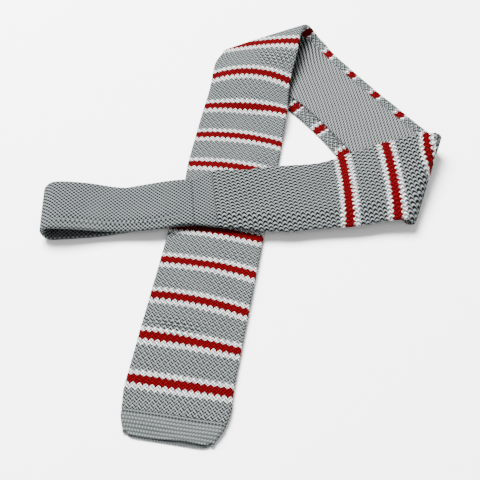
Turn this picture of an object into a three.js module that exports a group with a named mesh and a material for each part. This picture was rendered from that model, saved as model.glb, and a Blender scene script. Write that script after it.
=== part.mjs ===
// A striped knit tie lying folded on a flat surface.
// The square-ended front run lies flat, rolls under at the top, turns back at the right and
// crosses over the front run, where the narrow neck band begins, loops under and ends hidden.
// Millimetres, +Z up. The front run goes along +Y; the origin is on its flat underside.
//
// The tie is worked out as a flat strip that is folded like paper and then given its heights:
//   along  = distance from the hem end along the strip's middle line
//   across = -1 at the left edge, +1 at the right edge, seen from the front side
//   depth  = distance from the middle of the thickness, towards the front side

import * as THREE from "three";

// Overall sizes
const BLADE_LENGTH = 598; // hem end to neck seam
const BLADE_WIDTH = 56;
const HEM_LENGTH = 14;
const HEM_WIDTH = 49;
const HEM_STEP = 4; // length over which the blade steps in to the hem
const NECK_WIDTH = 34;
const NECK_TO_LOOP = 110; // neck seam to the left loop
const TAIL_LENGTH = 168; // left loop to the hidden end
const ORIGIN_FROM_HEM = 106; // where the origin lies on the front run

// Cloth
const SHELL_WALL = 1.2;
const SHELL_HOLLOW = 0.4; // between the front wall and the turned edges
const TURNING_WIDTH = 12; // cloth turned to the back along each side
const LINING_WALL = 1;
const LINING_LAP = 4; // lap of the lining over each turned edge
const BAND_WALL = 1;
const BAND_HOLLOW = 0.5;
const HEM_WALL = 1.3;
const PIECE_GAP = 0.3; // between pieces that touch
const TIE_THICKNESS = 2 * SHELL_WALL + SHELL_HOLLOW + PIECE_GAP + LINING_WALL;
const BAND_THICKNESS = 2 * BAND_WALL + BAND_HOLLOW;

// How it lies
const ROLL_OPENING_LEFT = 1.3; // clear height inside the top roll
const ROLL_OPENING_RIGHT = 8.5;
const LOOP_OPENING = 7.3; // clear height inside the left loop
const ROLL_RISE = 60; // length over which the front run climbs to the roll
const LOOP_RISE = 45;
const RAMP_OVER_BACK = 24; // ground that the front run takes to climb over the back run
const LEAD_OVER_BACK = 7; // ground before the back run's edge where that climb is done
const RAMP_OVER_FRONT = 45; // ground that the neck band takes to climb over the front run
const SETTLE_AFTER_LOOP = 25;
const SEAM_BLEND = 26; // length over which the strip thins and narrows past the neck seam
const BANK = 8; // lift of the outer edge at the right fold

// Folds, in order from the hem. along is a share of the piece named by within.
// skew is the angle in degrees from straight across to the fold line.
const FOLDS = [
  { name: "top_roll", within: "blade", along: 0.512, skew: 25.7 },
  { name: "right_fold", within: "blade", along: 0.79, skew: -30.7 },
  { name: "left_loop", within: "neck", along: 1, skew: 2.1 },
];

// Where the strip swerves sideways, as shares of the blade and degrees of turn
const SWERVES = [
  { from: 0.55, to: 0.69, turn: 10 },
  { from: 0.69, to: 0.82, turn: -9.9 },
  { from: 0.98, to: 1.08, turn: -7.7 },
];

// Width along the blade, as shares of its length and width
const BLADE_WIDTHS = [
  { along: 0.04, width: 1 },
  { along: 0.5, width: 1 },
  { along: 0.54, width: 1.12 },
  { along: 0.62, width: 0.98 },
  { along: 0.72, width: 1 },
  { along: 0.8, width: 1.09 },
  { along: 0.86, width: 1 },
  { along: 0.93, width: 0.93 },
  { along: 0.99, width: 0.84 },
];

// Width along the neck band, as shares of the way to the loop and of its width
const BAND_WIDTHS = [
  { along: 0.16, width: 1 },
  { along: 0.5, width: 1.03 },
  { along: 0.8, width: 1.08 },
];

// Lift of the outer edge along the back run and the crossing run, as shares of the bank
const BACK_RUN_BANK = [
  { along: 0, lift: 0.72 },
  { along: 0.45, lift: 0.88 },
  { along: 1, lift: 1 },
];
const CROSSING_RUN_BANK = [
  { along: 0, lift: 1 },
  { along: 0.25, lift: 0.1 },
  { along: 0.6, lift: 0 },
];

// Fineness of the solids
const MIDDLE_LINES = [-0.28, 0, 0.28]; // lines along the middle of a wall, as shares across
const BEND_STEPS = 3; // faces round a side bend
const FOLD_STATION_STEP = 1.3; // station spacing at a fold
const STATION_GROWTH = 0.24; // growth of the spacing away from a fold
const WIDEST_STATION_STEP = 13;
const PROBE = 0.05; // step of the slope measurement

const HALF = BLADE_WIDTH / 2;
const LINING_INSET = TURNING_WIDTH - LINING_LAP;
const STRIP_END = BLADE_LENGTH + NECK_TO_LOOP + TAIL_LENGTH;
const FLOOR_MIDDLE = TIE_THICKNESS / 2; // middle of a blade that lies on the surface
const BLADE_STACK = TIE_THICKNESS + PIECE_GAP;
const BAND_STACK = BAND_THICKNESS + PIECE_GAP;
const CROSSING_MIDDLE = FLOOR_MIDDLE + BLADE_STACK + BAND_STACK;
const LOOP_RADIUS = (LOOP_OPENING + BAND_THICKNESS) / 2;

const radians = THREE.MathUtils.degToRad;

/** Ease from 0 to 1 with level ends. */
function ease(share) {
  const t = THREE.MathUtils.clamp(share, 0, 1);
  return t * t * (3 - 2 * t);
}

/** Value of one column of a table at a place, eased between its rows. */
function lookUp(rows, place, column) {
  let value = rows[0][column];
  for (let i = 1; i < rows.length; i += 1) {
    const before = rows[i - 1];
    const after = rows[i];
    value += (after[column] - before[column]) * ease((place - before.along) / (after.along - before.along));
  }
  return value;
}

/** Width of the strip at a distance along it. */
function widthAt(along) {
  const blade = BLADE_WIDTH * lookUp(BLADE_WIDTHS, along / BLADE_LENGTH, "width");
  const band = NECK_WIDTH * lookUp(BAND_WIDTHS, (along - BLADE_LENGTH) / NECK_TO_LOOP, "width");
  const hem = HEM_WIDTH - blade;
  const atHem = 1 - ease((along - HEM_LENGTH) / HEM_STEP);
  const atBand = ease((along - BLADE_LENGTH) / SEAM_BLEND);
  return blade + hem * atHem + (band - blade) * atBand;
}

/** Stretches of the strip's middle line, each straight or an arc, before any fold. */
function middleLineStretches() {
  const stretches = [];
  let at = 0;
  for (const swerve of SWERVES) {
    const from = swerve.from * BLADE_LENGTH;
    const to = swerve.to * BLADE_LENGTH;
    if (from > at) stretches.push({ from: at, to: from, turn: 0 });
    stretches.push({ from, to, turn: radians(swerve.turn) });
    at = to;
  }
  stretches.push({ from: at, to: STRIP_END * 2, turn: 0 });
  return stretches;
}

const STRETCHES = middleLineStretches();

/** Point and heading of the middle line, lying flat and unfolded. */
function middleLine(along) {
  let x = 0;
  let y = -ORIGIN_FROM_HEM;
  let heading = Math.PI / 2;
  for (const stretch of STRETCHES) {
    const gone = Math.min(along, stretch.to) - stretch.from;
    if (gone <= 0 && stretch.from > 0) break;
    const curvature = stretch.turn / (stretch.to - stretch.from);
    const next = heading + curvature * gone;
    if (curvature === 0) {
      x += gone * Math.cos(heading);
      y += gone * Math.sin(heading);
    } else {
      x += (Math.sin(next) - Math.sin(heading)) / curvature;
      y -= (Math.cos(next) - Math.cos(heading)) / curvature;
    }
    heading = next;
  }
  return { x, y, heading };
}

/** Fold lines on the flat strip: a point, the line's direction and the way past it. */
function foldLines() {
  return FOLDS.map((fold) => {
    const along = fold.within === "blade" ? fold.along * BLADE_LENGTH : BLADE_LENGTH + fold.along * NECK_TO_LOOP;
    const { x, y, heading } = middleLine(along);
    const angle = heading - Math.PI / 2 + radians(fold.skew);
    const line = new THREE.Vector2(Math.cos(angle), Math.sin(angle));
    const past = new THREE.Vector2(-line.y, line.x);
    return { along, point: new THREE.Vector2(x, y), line, past, slope: Math.tan(radians(fold.skew)) };
  });
}

const FOLD_LINES = foldLines();

/** Plane moves that take the flat strip to each run: the front run stays, each fold mirrors. */
function runMoves() {
  const moves = [new THREE.Matrix3()];
  for (const { point, line } of FOLD_LINES) {
    const a = 2 * line.x * line.x - 1;
    const b = 2 * line.x * line.y;
    const mirror = new THREE.Matrix3().set(
      a, b, point.x - a * point.x - b * point.y,
      b, -a, point.y - b * point.x + a * point.y,
      0, 0, 1,
    );
    moves.push(new THREE.Matrix3().multiplyMatrices(moves[moves.length - 1], mirror));
  }
  return moves;
}

const RUN_MOVES = runMoves();

/** Share by which a plan point lies over the front run, with its ramps. */
function overFrontRun(plan) {
  return ease((HALF - Math.abs(plan.x) + RAMP_OVER_FRONT) / RAMP_OVER_FRONT);
}

const BACK_RUN_POINT = FOLD_LINES[0].point.clone().applyMatrix3(RUN_MOVES[1]);
const BACK_RUN_ACROSS = new THREE.Vector2(RUN_MOVES[1].elements[0], RUN_MOVES[1].elements[1]);

/** Share by which a plan point lies over the back run, with its ramp. */
function overBackRun(plan) {
  const inside = HALF + plan.clone().sub(BACK_RUN_POINT).dot(BACK_RUN_ACROSS);
  return ease((inside + LEAD_OVER_BACK + RAMP_OVER_BACK) / RAMP_OVER_BACK);
}

/** Heights of the strip's middle just before and just after a fold. right is 0 to 1 across. */
function foldHeights(fold, right) {
  if (fold === 0) {
    const opening = ROLL_OPENING_LEFT + (ROLL_OPENING_RIGHT - ROLL_OPENING_LEFT) * right;
    const after = FLOOR_MIDDLE + BANK * BACK_RUN_BANK[0].lift * right;
    return [after + TIE_THICKNESS + opening, after];
  }
  if (fold === 1) return [FLOOR_MIDDLE + BANK * right, CROSSING_MIDDLE + BANK * right];
  return [BAND_THICKNESS / 2 + 2 * LOOP_RADIUS, BAND_THICKNESS / 2];
}

/** Height of the strip's middle in a run, from the ground gone since and left to its folds. */
function runHeight(run, along, right, gone, left, plan) {
  const share = gone / Math.max(gone + left, PROBE);
  if (run === 0) {
    const resting = FLOOR_MIDDLE + BLADE_STACK * overBackRun(plan);
    return resting + (foldHeights(0, right)[0] - resting) * ease(1 - left / ROLL_RISE);
  }
  if (run === 1) return FLOOR_MIDDLE + BANK * lookUp(BACK_RUN_BANK, share, "lift") * right;
  const tail = BAND_THICKNESS / 2 + BLADE_STACK * overFrontRun(plan) * ease(gone / SETTLE_AFTER_LOOP);
  if (run === 3) return tail;
  const crossing = CROSSING_MIDDLE + BANK * lookUp(CROSSING_RUN_BANK, share, "lift") * right;
  const beneath = BAND_THICKNESS / 2 + BLADE_STACK * overFrontRun(plan);
  const band = beneath + BAND_STACK + (2 * LOOP_RADIUS - BAND_STACK) * ease(1 - left / LOOP_RISE);
  return crossing + (band - crossing) * ease((along - BLADE_LENGTH) / SEAM_BLEND);
}

/** Point on the middle of the strip's thickness. */
function middlePoint(along, across) {
  const { x, y, heading } = middleLine(along);
  const reach = across * widthAt(along) / 2;
  const flat = new THREE.Vector2(x + reach * Math.sin(heading), y - reach * Math.cos(heading));
  const right = (THREE.MathUtils.clamp(across, -1.3, 1.3) + 1) / 2;
  const past = FOLD_LINES.map((fold) => flat.clone().sub(fold.point).dot(fold.past));
  const bends = FOLD_LINES.map((_, i) => {
    const [before, after] = foldHeights(i, right);
    return { before, after, radius: Math.abs(before - after) / 2 };
  });
  let run = 0;
  while (run < past.length && past[run] > 0) run += 1;
  const halfTurn = (i) => Math.PI * bends[i].radius / 2;

  for (const i of [run - 1, run]) {
    if (i < 0 || i >= past.length || Math.abs(past[i]) >= halfTurn(i)) continue;
    const { before, after, radius } = bends[i];
    const out = radius * Math.cos(past[i] / radius) - halfTurn(i);
    const foot = flat.clone().addScaledVector(FOLD_LINES[i].past, out - past[i]).applyMatrix3(RUN_MOVES[i]);
    const height = (before + after) / 2 + Math.sign(after - before) * radius * Math.sin(past[i] / radius);
    return new THREE.Vector3(foot.x, foot.y, height);
  }

  const plan = flat.clone().applyMatrix3(RUN_MOVES[run]);
  const gone = run > 0 ? past[run - 1] - halfTurn(run - 1) : along;
  const left = run < past.length ? -past[run] - halfTurn(run) : STRIP_END - along;
  return new THREE.Vector3(plan.x, plan.y, runHeight(run, along, right, gone, left, plan));
}

/** Point at a depth in the strip's thickness. */
function stripPoint(along, across, depth) {
  const middle = middlePoint(along, across);
  const alongSlope = middlePoint(along + PROBE, across).sub(middlePoint(along - PROBE, across));
  const reach = widthAt(along) / 2;
  const acrossSlope = middlePoint(along, across + PROBE / reach).sub(middlePoint(along, across - PROBE / reach));
  const front = acrossSlope.cross(alongSlope).normalize();
  return middle.addScaledVector(front, depth);
}

/** How far stations lean along the strip for each millimetre across, to run with the folds. */
function stationSlope(station) {
  const knots = [
    { along: 0, slope: 0 },
    { along: HEM_LENGTH, slope: 0 },
    ...FOLD_LINES,
    { along: STRIP_END, slope: 0 },
  ];
  let i = 1;
  while (i < knots.length - 1 && station > knots[i].along) i += 1;
  const span = knots[i].along - knots[i - 1].along;
  const share = THREE.MathUtils.clamp((station - knots[i - 1].along) / span, 0, 1);
  return knots[i - 1].slope + (knots[i].slope - knots[i - 1].slope) * share;
}

/** Stations from one end to the other, close at the folds. */
function stationsBetween(from, to) {
  const stations = [from];
  let at = from;
  while (at < to) {
    const nearest = Math.min(...FOLD_LINES.map((fold) => Math.abs(at - fold.along)));
    at += Math.min(FOLD_STATION_STEP + STATION_GROWTH * nearest, WIDEST_STATION_STEP);
    stations.push(at);
  }
  const stretch = (to - from) / (at - from);
  return stations.map((station) => from + (station - from) * stretch);
}

/** Section point: across as a share of the half width, inset in mm, depth in mm. */
const sectionPoint = (across, inset, depth) => ({ across, inset, depth });

/** Points across a wall at one depth, left to right, on lines that all walls share. */
function wall(insets, depth) {
  return [
    ...insets.map((inset) => sectionPoint(-1, inset, depth)),
    ...MIDDLE_LINES.map((across) => sectionPoint(across, 0, depth)),
    ...insets.map((inset) => sectionPoint(1, -inset, depth)).reverse(),
  ];
}

/** Half circle round a side, from the front depth to the back depth or the other way. */
function sideBend(side, inset, fromDepth, toDepth) {
  const radius = Math.abs(fromDepth - toDepth) / 2;
  const points = [];
  for (let i = 1; i < BEND_STEPS; i += 1) {
    const angle = Math.PI * i / BEND_STEPS;
    const depth = (fromDepth + toDepth) / 2 + (fromDepth - toDepth) / 2 * Math.cos(angle);
    points.push(sectionPoint(side, side * -(inset - radius * Math.sin(angle)), depth));
  }
  return points;
}

/** Closed outline of a flat tube of a thickness, trimmed in from the edges by its wall. */
function tubeOutline(thickness, trim) {
  const half = thickness / 2;
  const inset = half + trim;
  const insets = [inset, TURNING_WIDTH];
  return [
    ...wall(insets, half),
    ...sideBend(1, inset, half, -half),
    ...wall(insets, -half).reverse(),
    ...sideBend(-1, inset, -half, half),
  ];
}

/** Place a section at a station of the strip. */
function placeSection(section, station) {
  const slope = stationSlope(station);
  const reach = widthAt(station) / 2;
  return section.map(({ across, inset, depth }) => {
    const along = station + (across * reach + inset) * slope;
    return stripPoint(along, across + 2 * inset / widthAt(along), depth);
  });
}

/** Triangles between two rings of points. All walls split alike, so that they stay parallel. */
function ringFaces(before, after, outline) {
  const faces = [];
  const size = outline.length;
  const place = ({ across, inset }) => across * HALF + inset;
  for (let i = 0; i < size; i += 1) {
    const j = (i + 1) % size;
    const rightward = place(outline[j]) >= place(outline[i]);
    if (rightward) faces.push(before + i, after + j, after + i, before + i, before + j, after + j);
    else faces.push(before + i, before + j, after + i, before + j, after + j, after + i);
  }
  return faces;
}

/** Geometry from points and faces. */
function geometryFrom(points, faces) {
  const geometry = new THREE.BufferGeometry();
  geometry.setAttribute("position", new THREE.Float32BufferAttribute(points.flatMap((p) => p.toArray()), 3));
  geometry.setIndex(faces);
  geometry.computeVertexNormals();
  return geometry;
}

/** Solid strip of one closed outline, capped at both ends by cap faces between its two sides. */
function stripSolid(outline, stations) {
  const size = outline.length;
  const points = stations.flatMap((station) => placeSection(outline, station));
  const faces = [];
  for (let i = 1; i < stations.length; i += 1) faces.push(...ringFaces((i - 1) * size, i * size, outline));
  const last = (stations.length - 1) * size;
  for (let i = 0; i < size / 2 - 1; i += 1) {
    const a = i;
    const b = i + 1;
    const c = size - 2 - i;
    const d = size - 1 - i;
    faces.push(a, c, b, a, d, c);
    faces.push(last + a, last + b, last + c, last + a, last + c, last + d);
  }
  return geometryFrom(points, faces);
}

/** Tube strip between an outer and an inner outline of as many points, open at both ends. */
function tubeSolid(outer, inner, stations) {
  const size = outer.length;
  const points = stations.flatMap((station) => [
    ...placeSection(outer, station),
    ...placeSection(inner, station),
  ]);
  const faces = [];
  for (let i = 1; i < stations.length; i += 1) {
    const before = (i - 1) * 2 * size;
    const after = i * 2 * size;
    faces.push(...ringFaces(before, after, outer));
    faces.push(...ringFaces(before + size, after + size, inner).reverse());
  }
  const last = (stations.length - 1) * 2 * size;
  faces.push(...ringFaces(size, 0, outer));
  faces.push(...ringFaces(last, last + size, outer));
  return geometryFrom(points, faces);
}

/** Outline of the blade's shell: front wall, round sides and edges turned to the back. */
function shellOutline() {
  const front = TIE_THICKNESS / 2;
  const frontInside = front - SHELL_WALL;
  const turningInside = frontInside - SHELL_HOLLOW;
  const turningOutside = turningInside - SHELL_WALL;
  const bendInset = (front - turningOutside) / 2;
  const insets = [bendInset, LINING_INSET, TURNING_WIDTH];
  const turning = (side, depth) => insets.map((inset) => sectionPoint(side, -side * inset, depth));
  return [
    ...turning(-1, turningOutside).reverse(),
    ...sideBend(-1, bendInset, turningOutside, front),
    ...wall(insets, front),
    ...sideBend(1, bendInset, front, turningOutside),
    ...turning(1, turningOutside),
    ...turning(1, turningInside).reverse(),
    ...sideBend(1, bendInset, turningInside, frontInside),
    ...wall(insets, frontInside).reverse(),
    ...sideBend(-1, bendInset, frontInside, turningInside),
    ...turning(-1, turningInside),
  ];
}

/** Outline of the lining panel, flat against the turned edges. */
function liningOutline() {
  const back = -TIE_THICKNESS / 2;
  const insets = [LINING_INSET, TURNING_WIDTH];
  return [...wall(insets, back + LINING_WALL), ...wall(insets, back).reverse()];
}

/** Material from a colour and a roughness. */
function cloth(color, roughness) {
  return new THREE.MeshStandardMaterial({ color, roughness, metalness: 0 });
}

/** Named mesh of a geometry. */
function piece(name, geometry, material) {
  const mesh = new THREE.Mesh(geometry, material);
  mesh.name = name;
  return mesh;
}

const GREY_KNIT = cloth(0xa3a8a8, 0.9);
const GREY_JERSEY = cloth(0x9b9fa0, 0.9);

const shellStations = [HEM_LENGTH + PIECE_GAP, ...stationsBetween(HEM_LENGTH + HEM_STEP, BLADE_LENGTH)];
const hemStations = stationsBetween(0, HEM_LENGTH);
const bandStations = stationsBetween(BLADE_LENGTH + PIECE_GAP, STRIP_END);

const tie = new THREE.Group();
tie.add(
  piece("blade_shell", stripSolid(shellOutline(), shellStations), GREY_KNIT),
  piece("blade_lining", stripSolid(liningOutline(), shellStations), GREY_JERSEY),
  piece(
    "hem_band",
    tubeSolid(tubeOutline(TIE_THICKNESS, 0), tubeOutline(TIE_THICKNESS - 2 * HEM_WALL, HEM_WALL), hemStations),
    GREY_JERSEY,
  ),
  piece(
    "neck_band",
    tubeSolid(tubeOutline(BAND_THICKNESS, 0), tubeOutline(BAND_HOLLOW, BAND_WALL), bandStations),
    GREY_JERSEY,
  ),
);

export default tie;
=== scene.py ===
"""A striped knit tie lying folded on a pale floor.

The tie is one long strip that is folded like paper and given soft heights. Every piece is a
section carried along that strip: the striped shell with its turned edges, the lining panel, the
hem tube, the neck tube and the threads that join them. Lengths are in millimetres until a mesh
is made, and the strip's coordinates are

    along   distance from the hem end along the middle line
    across  -1 at the left edge, +1 at the right edge, seen from the front side
    depth   distance from the middle of the thickness, towards the front side
"""

import logging
import math
from collections.abc import Callable
from dataclasses import dataclass
from enum import Enum

import bpy
import numpy as np
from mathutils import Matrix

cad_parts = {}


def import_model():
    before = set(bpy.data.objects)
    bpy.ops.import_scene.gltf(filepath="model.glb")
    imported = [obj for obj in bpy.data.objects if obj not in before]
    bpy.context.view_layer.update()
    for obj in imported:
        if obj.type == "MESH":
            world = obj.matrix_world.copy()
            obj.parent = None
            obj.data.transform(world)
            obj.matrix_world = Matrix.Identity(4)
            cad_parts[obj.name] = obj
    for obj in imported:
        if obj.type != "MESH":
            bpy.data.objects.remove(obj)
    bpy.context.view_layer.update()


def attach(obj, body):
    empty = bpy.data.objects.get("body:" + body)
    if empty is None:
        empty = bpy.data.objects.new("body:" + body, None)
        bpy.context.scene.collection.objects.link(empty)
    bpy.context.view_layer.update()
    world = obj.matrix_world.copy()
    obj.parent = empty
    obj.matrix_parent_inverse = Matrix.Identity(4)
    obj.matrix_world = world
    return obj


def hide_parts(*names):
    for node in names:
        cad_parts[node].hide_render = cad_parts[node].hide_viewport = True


LOG = logging.getLogger("knit_tie")
MM = 0.001
TAU = 2 * math.pi
Array = np.ndarray
Socket = bpy.types.NodeSocket


def ease(share: Array) -> Array:
    """Ease from 0 to 1 with level ends: t squared times (3 - 2 t), t limited to 0..1."""
    t = np.clip(share, 0.0, 1.0)
    return t * t * (3.0 - 2.0 * t)


def eased_table(rows: tuple[tuple[float, float], ...], place: Array) -> Array:
    """Value of a table at places, eased between its rows.

    Args:
        rows: pairs of a place and the value there, in order.
        place: where the value is wanted.

    Returns:
        The values, each the first row's plus the eased steps of the rows passed.
    """
    value = np.full(np.shape(place), rows[0][1], float)
    for (before, low), (after, high) in zip(rows, rows[1:]):
        value = value + (high - low) * ease((place - before) / (after - before))
    return value


class Run(Enum):
    """Stretches of the strip between its folds."""

    FRONT = 0
    BACK = 1
    CROSSING = 2
    TAIL = 3


@dataclass(frozen=True)
class Fold:
    """A fold line.

    Attributes:
        along: distance of its middle from the hem end.
        skew: degrees from straight across to the fold line.
    """

    along: float
    skew: float


@dataclass(frozen=True)
class Swerve:
    """A stretch where the strip turns sideways in its own plane, by turn degrees."""

    start: float
    end: float
    turn: float


@dataclass(frozen=True)
class Nudge:
    """A place where one edge draws inwards, eased over a spread along the strip.

    Attributes:
        along: its middle.
        spread: distance along over which it fades.
        side: the edge, -1 or +1.
        inward: millimetres towards the middle, below zero for outwards.
    """

    along: float
    spread: float
    side: int
    inward: float


@dataclass(frozen=True)
class TieSizes:
    """Sizes of the tie and of how it lies, in millimetres and degrees.

    Attributes:
        origin_from_hem: distance from the hem end to the origin.
        shell_end: where the shell's mesh ends and the neck tube's begins.
        piece_gap: air between two layers that lie on each other.
        roll_opening_left, roll_opening_right: air inside the top roll at its two ends.
        roll_rise, loop_rise: ground over which a run climbs to the top roll and to the loop.
        ramp_over_back, lead_over_back: ground over which the front run climbs over the back run
            and how far before its edge the climb ends.
        ramp_over_front: ground over which the tail climbs over the front run.
        settle_after_loop: ground over which the tail settles after the loop.
        seam_blend: length over which the blade's width and height become the neck band's.
        narrowing_start, narrowing_length: where the knit narrows with the blade.
        bank: how far the right edge stands above the left one at the right fold.
        sag, sag_share, sag_start: how far the crossing run's left edge hangs, on what share of
            its width, and the ground over which that starts.
        blade_widths, band_widths: shares of the nominal width, by share of the length.
        back_bank, crossing_bank: shares of the bank, by share of the run.
        shifts: how far the strip lies to the right of its middle line, by distance along.
        nudges: where an edge draws inwards.
        lump: height of the cloth's soft lumps.
    """

    blade_length: float = 598.0
    blade_width: float = 56.0
    hem_length: float = 14.0
    neck_width: float = 34.0
    neck_to_loop: float = 110.0
    tail_length: float = 168.0
    origin_from_hem: float = 106.0
    thickness: float = 4.1
    band_thickness: float = 2.5
    shell_end: float = 603.0
    turning_width: float = 12.0
    lining_inset: float = 8.0
    lining_wall: float = 1.0
    shell_wall: float = 1.2
    piece_gap: float = 0.3
    roll_opening_left: float = 1.3
    roll_opening_right: float = 8.5
    loop_opening: float = 8.8
    roll_rise: float = 60.0
    loop_rise: float = 52.0
    ramp_over_back: float = 24.0
    lead_over_back: float = 7.0
    ramp_over_front: float = 45.0
    settle_after_loop: float = 25.0
    seam_blend: float = 26.0
    narrowing_start: float = 530.0
    narrowing_length: float = 50.0
    bank: float = 8.0
    sag: float = 2.4
    sag_share: float = 0.22
    sag_start: float = 25.0
    blade_widths: tuple[tuple[float, float], ...] = (
        (0.0, 0.82), (0.021, 0.945), (0.046, 1.0), (0.5, 1.0), (0.54, 1.12), (0.62, 0.98),
        (0.72, 1.0), (0.8, 1.09), (0.86, 1.0), (0.93, 0.93), (0.99, 0.84),
    )
    band_widths: tuple[tuple[float, float], ...] = ((0.16, 1.0), (0.5, 1.03), (0.8, 1.08))
    back_bank: tuple[tuple[float, float], ...] = ((0.0, 0.72), (0.45, 0.88), (1.0, 1.0))
    crossing_bank: tuple[tuple[float, float], ...] = ((0.0, 1.0), (0.25, 0.1), (0.6, 0.0))
    shifts: tuple[tuple[float, float], ...] = (
        (0.0, 0.3), (30.0, 0.0), (480.0, 0.0), (500.0, 0.3), (530.0, -1.5), (560.0, -1.8),
        (576.0, -0.4), (602.0, 3.2), (620.0, 2.6), (640.0, 0.8), (672.0, 1.0), (698.0, 0.0),
    )
    nudges: tuple[Nudge, ...] = (
        Nudge(18.0, 10.0, 1, -1.6), Nudge(168.0, 14.0, -1, 1.4), Nudge(258.0, 20.0, -1, 1.3),
        Nudge(264.0, 18.0, 1, 1.8), Nudge(292.0, 9.0, -1, 4.2), Nudge(331.0, 12.0, 1, -2.6),
        Nudge(392.0, 30.0, 1, 1.5), Nudge(400.0, 34.0, -1, 1.4), Nudge(536.0, 15.0, 1, 2.8),
        Nudge(555.0, 55.0, -1, 1.8), Nudge(548.0, 30.0, 1, 0.8),
        Nudge(604.0, 14.0, -1, 2.0), Nudge(708.0, 6.0, 1, 2.8), Nudge(708.0, 4.0, -1, 1.0),
    )
    lump: float = 0.5

    @property
    def end(self) -> float:
        """Length of the whole strip."""
        return self.blade_length + self.neck_to_loop + self.tail_length

    @property
    def floor_middle(self) -> float:
        """Height of the blade's middle where it lies on the floor."""
        return self.thickness / 2

    @property
    def blade_stack(self) -> float:
        """Height that one layer of blade adds."""
        return self.thickness + self.piece_gap

    @property
    def band_stack(self) -> float:
        """Height that one layer of neck band adds."""
        return self.band_thickness + self.piece_gap

    @property
    def crossing_middle(self) -> float:
        """Height of the crossing run's middle."""
        return self.floor_middle + self.blade_stack + self.band_stack

    @property
    def loop_radius(self) -> float:
        """Radius of the left loop, at the middle of the band."""
        return (self.loop_opening + self.band_thickness) / 2

    @property
    def folds(self) -> tuple[Fold, ...]:
        """The top roll, the right fold and the left loop.

        Returns:
            The folds, in order along the strip.
        """
        return (
            Fold(0.512 * self.blade_length, 25.7),
            Fold(0.79 * self.blade_length, -30.7),
            Fold(self.blade_length + self.neck_to_loop, 2.1),
        )

    @property
    def swerves(self) -> tuple[Swerve, ...]:
        """Where the strip swerves, in order.

        Returns:
            The swerves.
        """
        blade = self.blade_length
        return (
            Swerve(0.55 * blade, 0.69 * blade, 10.0),
            Swerve(0.69 * blade, 0.82 * blade, -9.9),
            Swerve(0.98 * blade, 1.08 * blade, -7.7),
        )


@dataclass
class FoldLine:
    """A fold line on the flat strip: a point, its direction and the way past it."""

    point: Array
    line: Array
    past: Array


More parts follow.
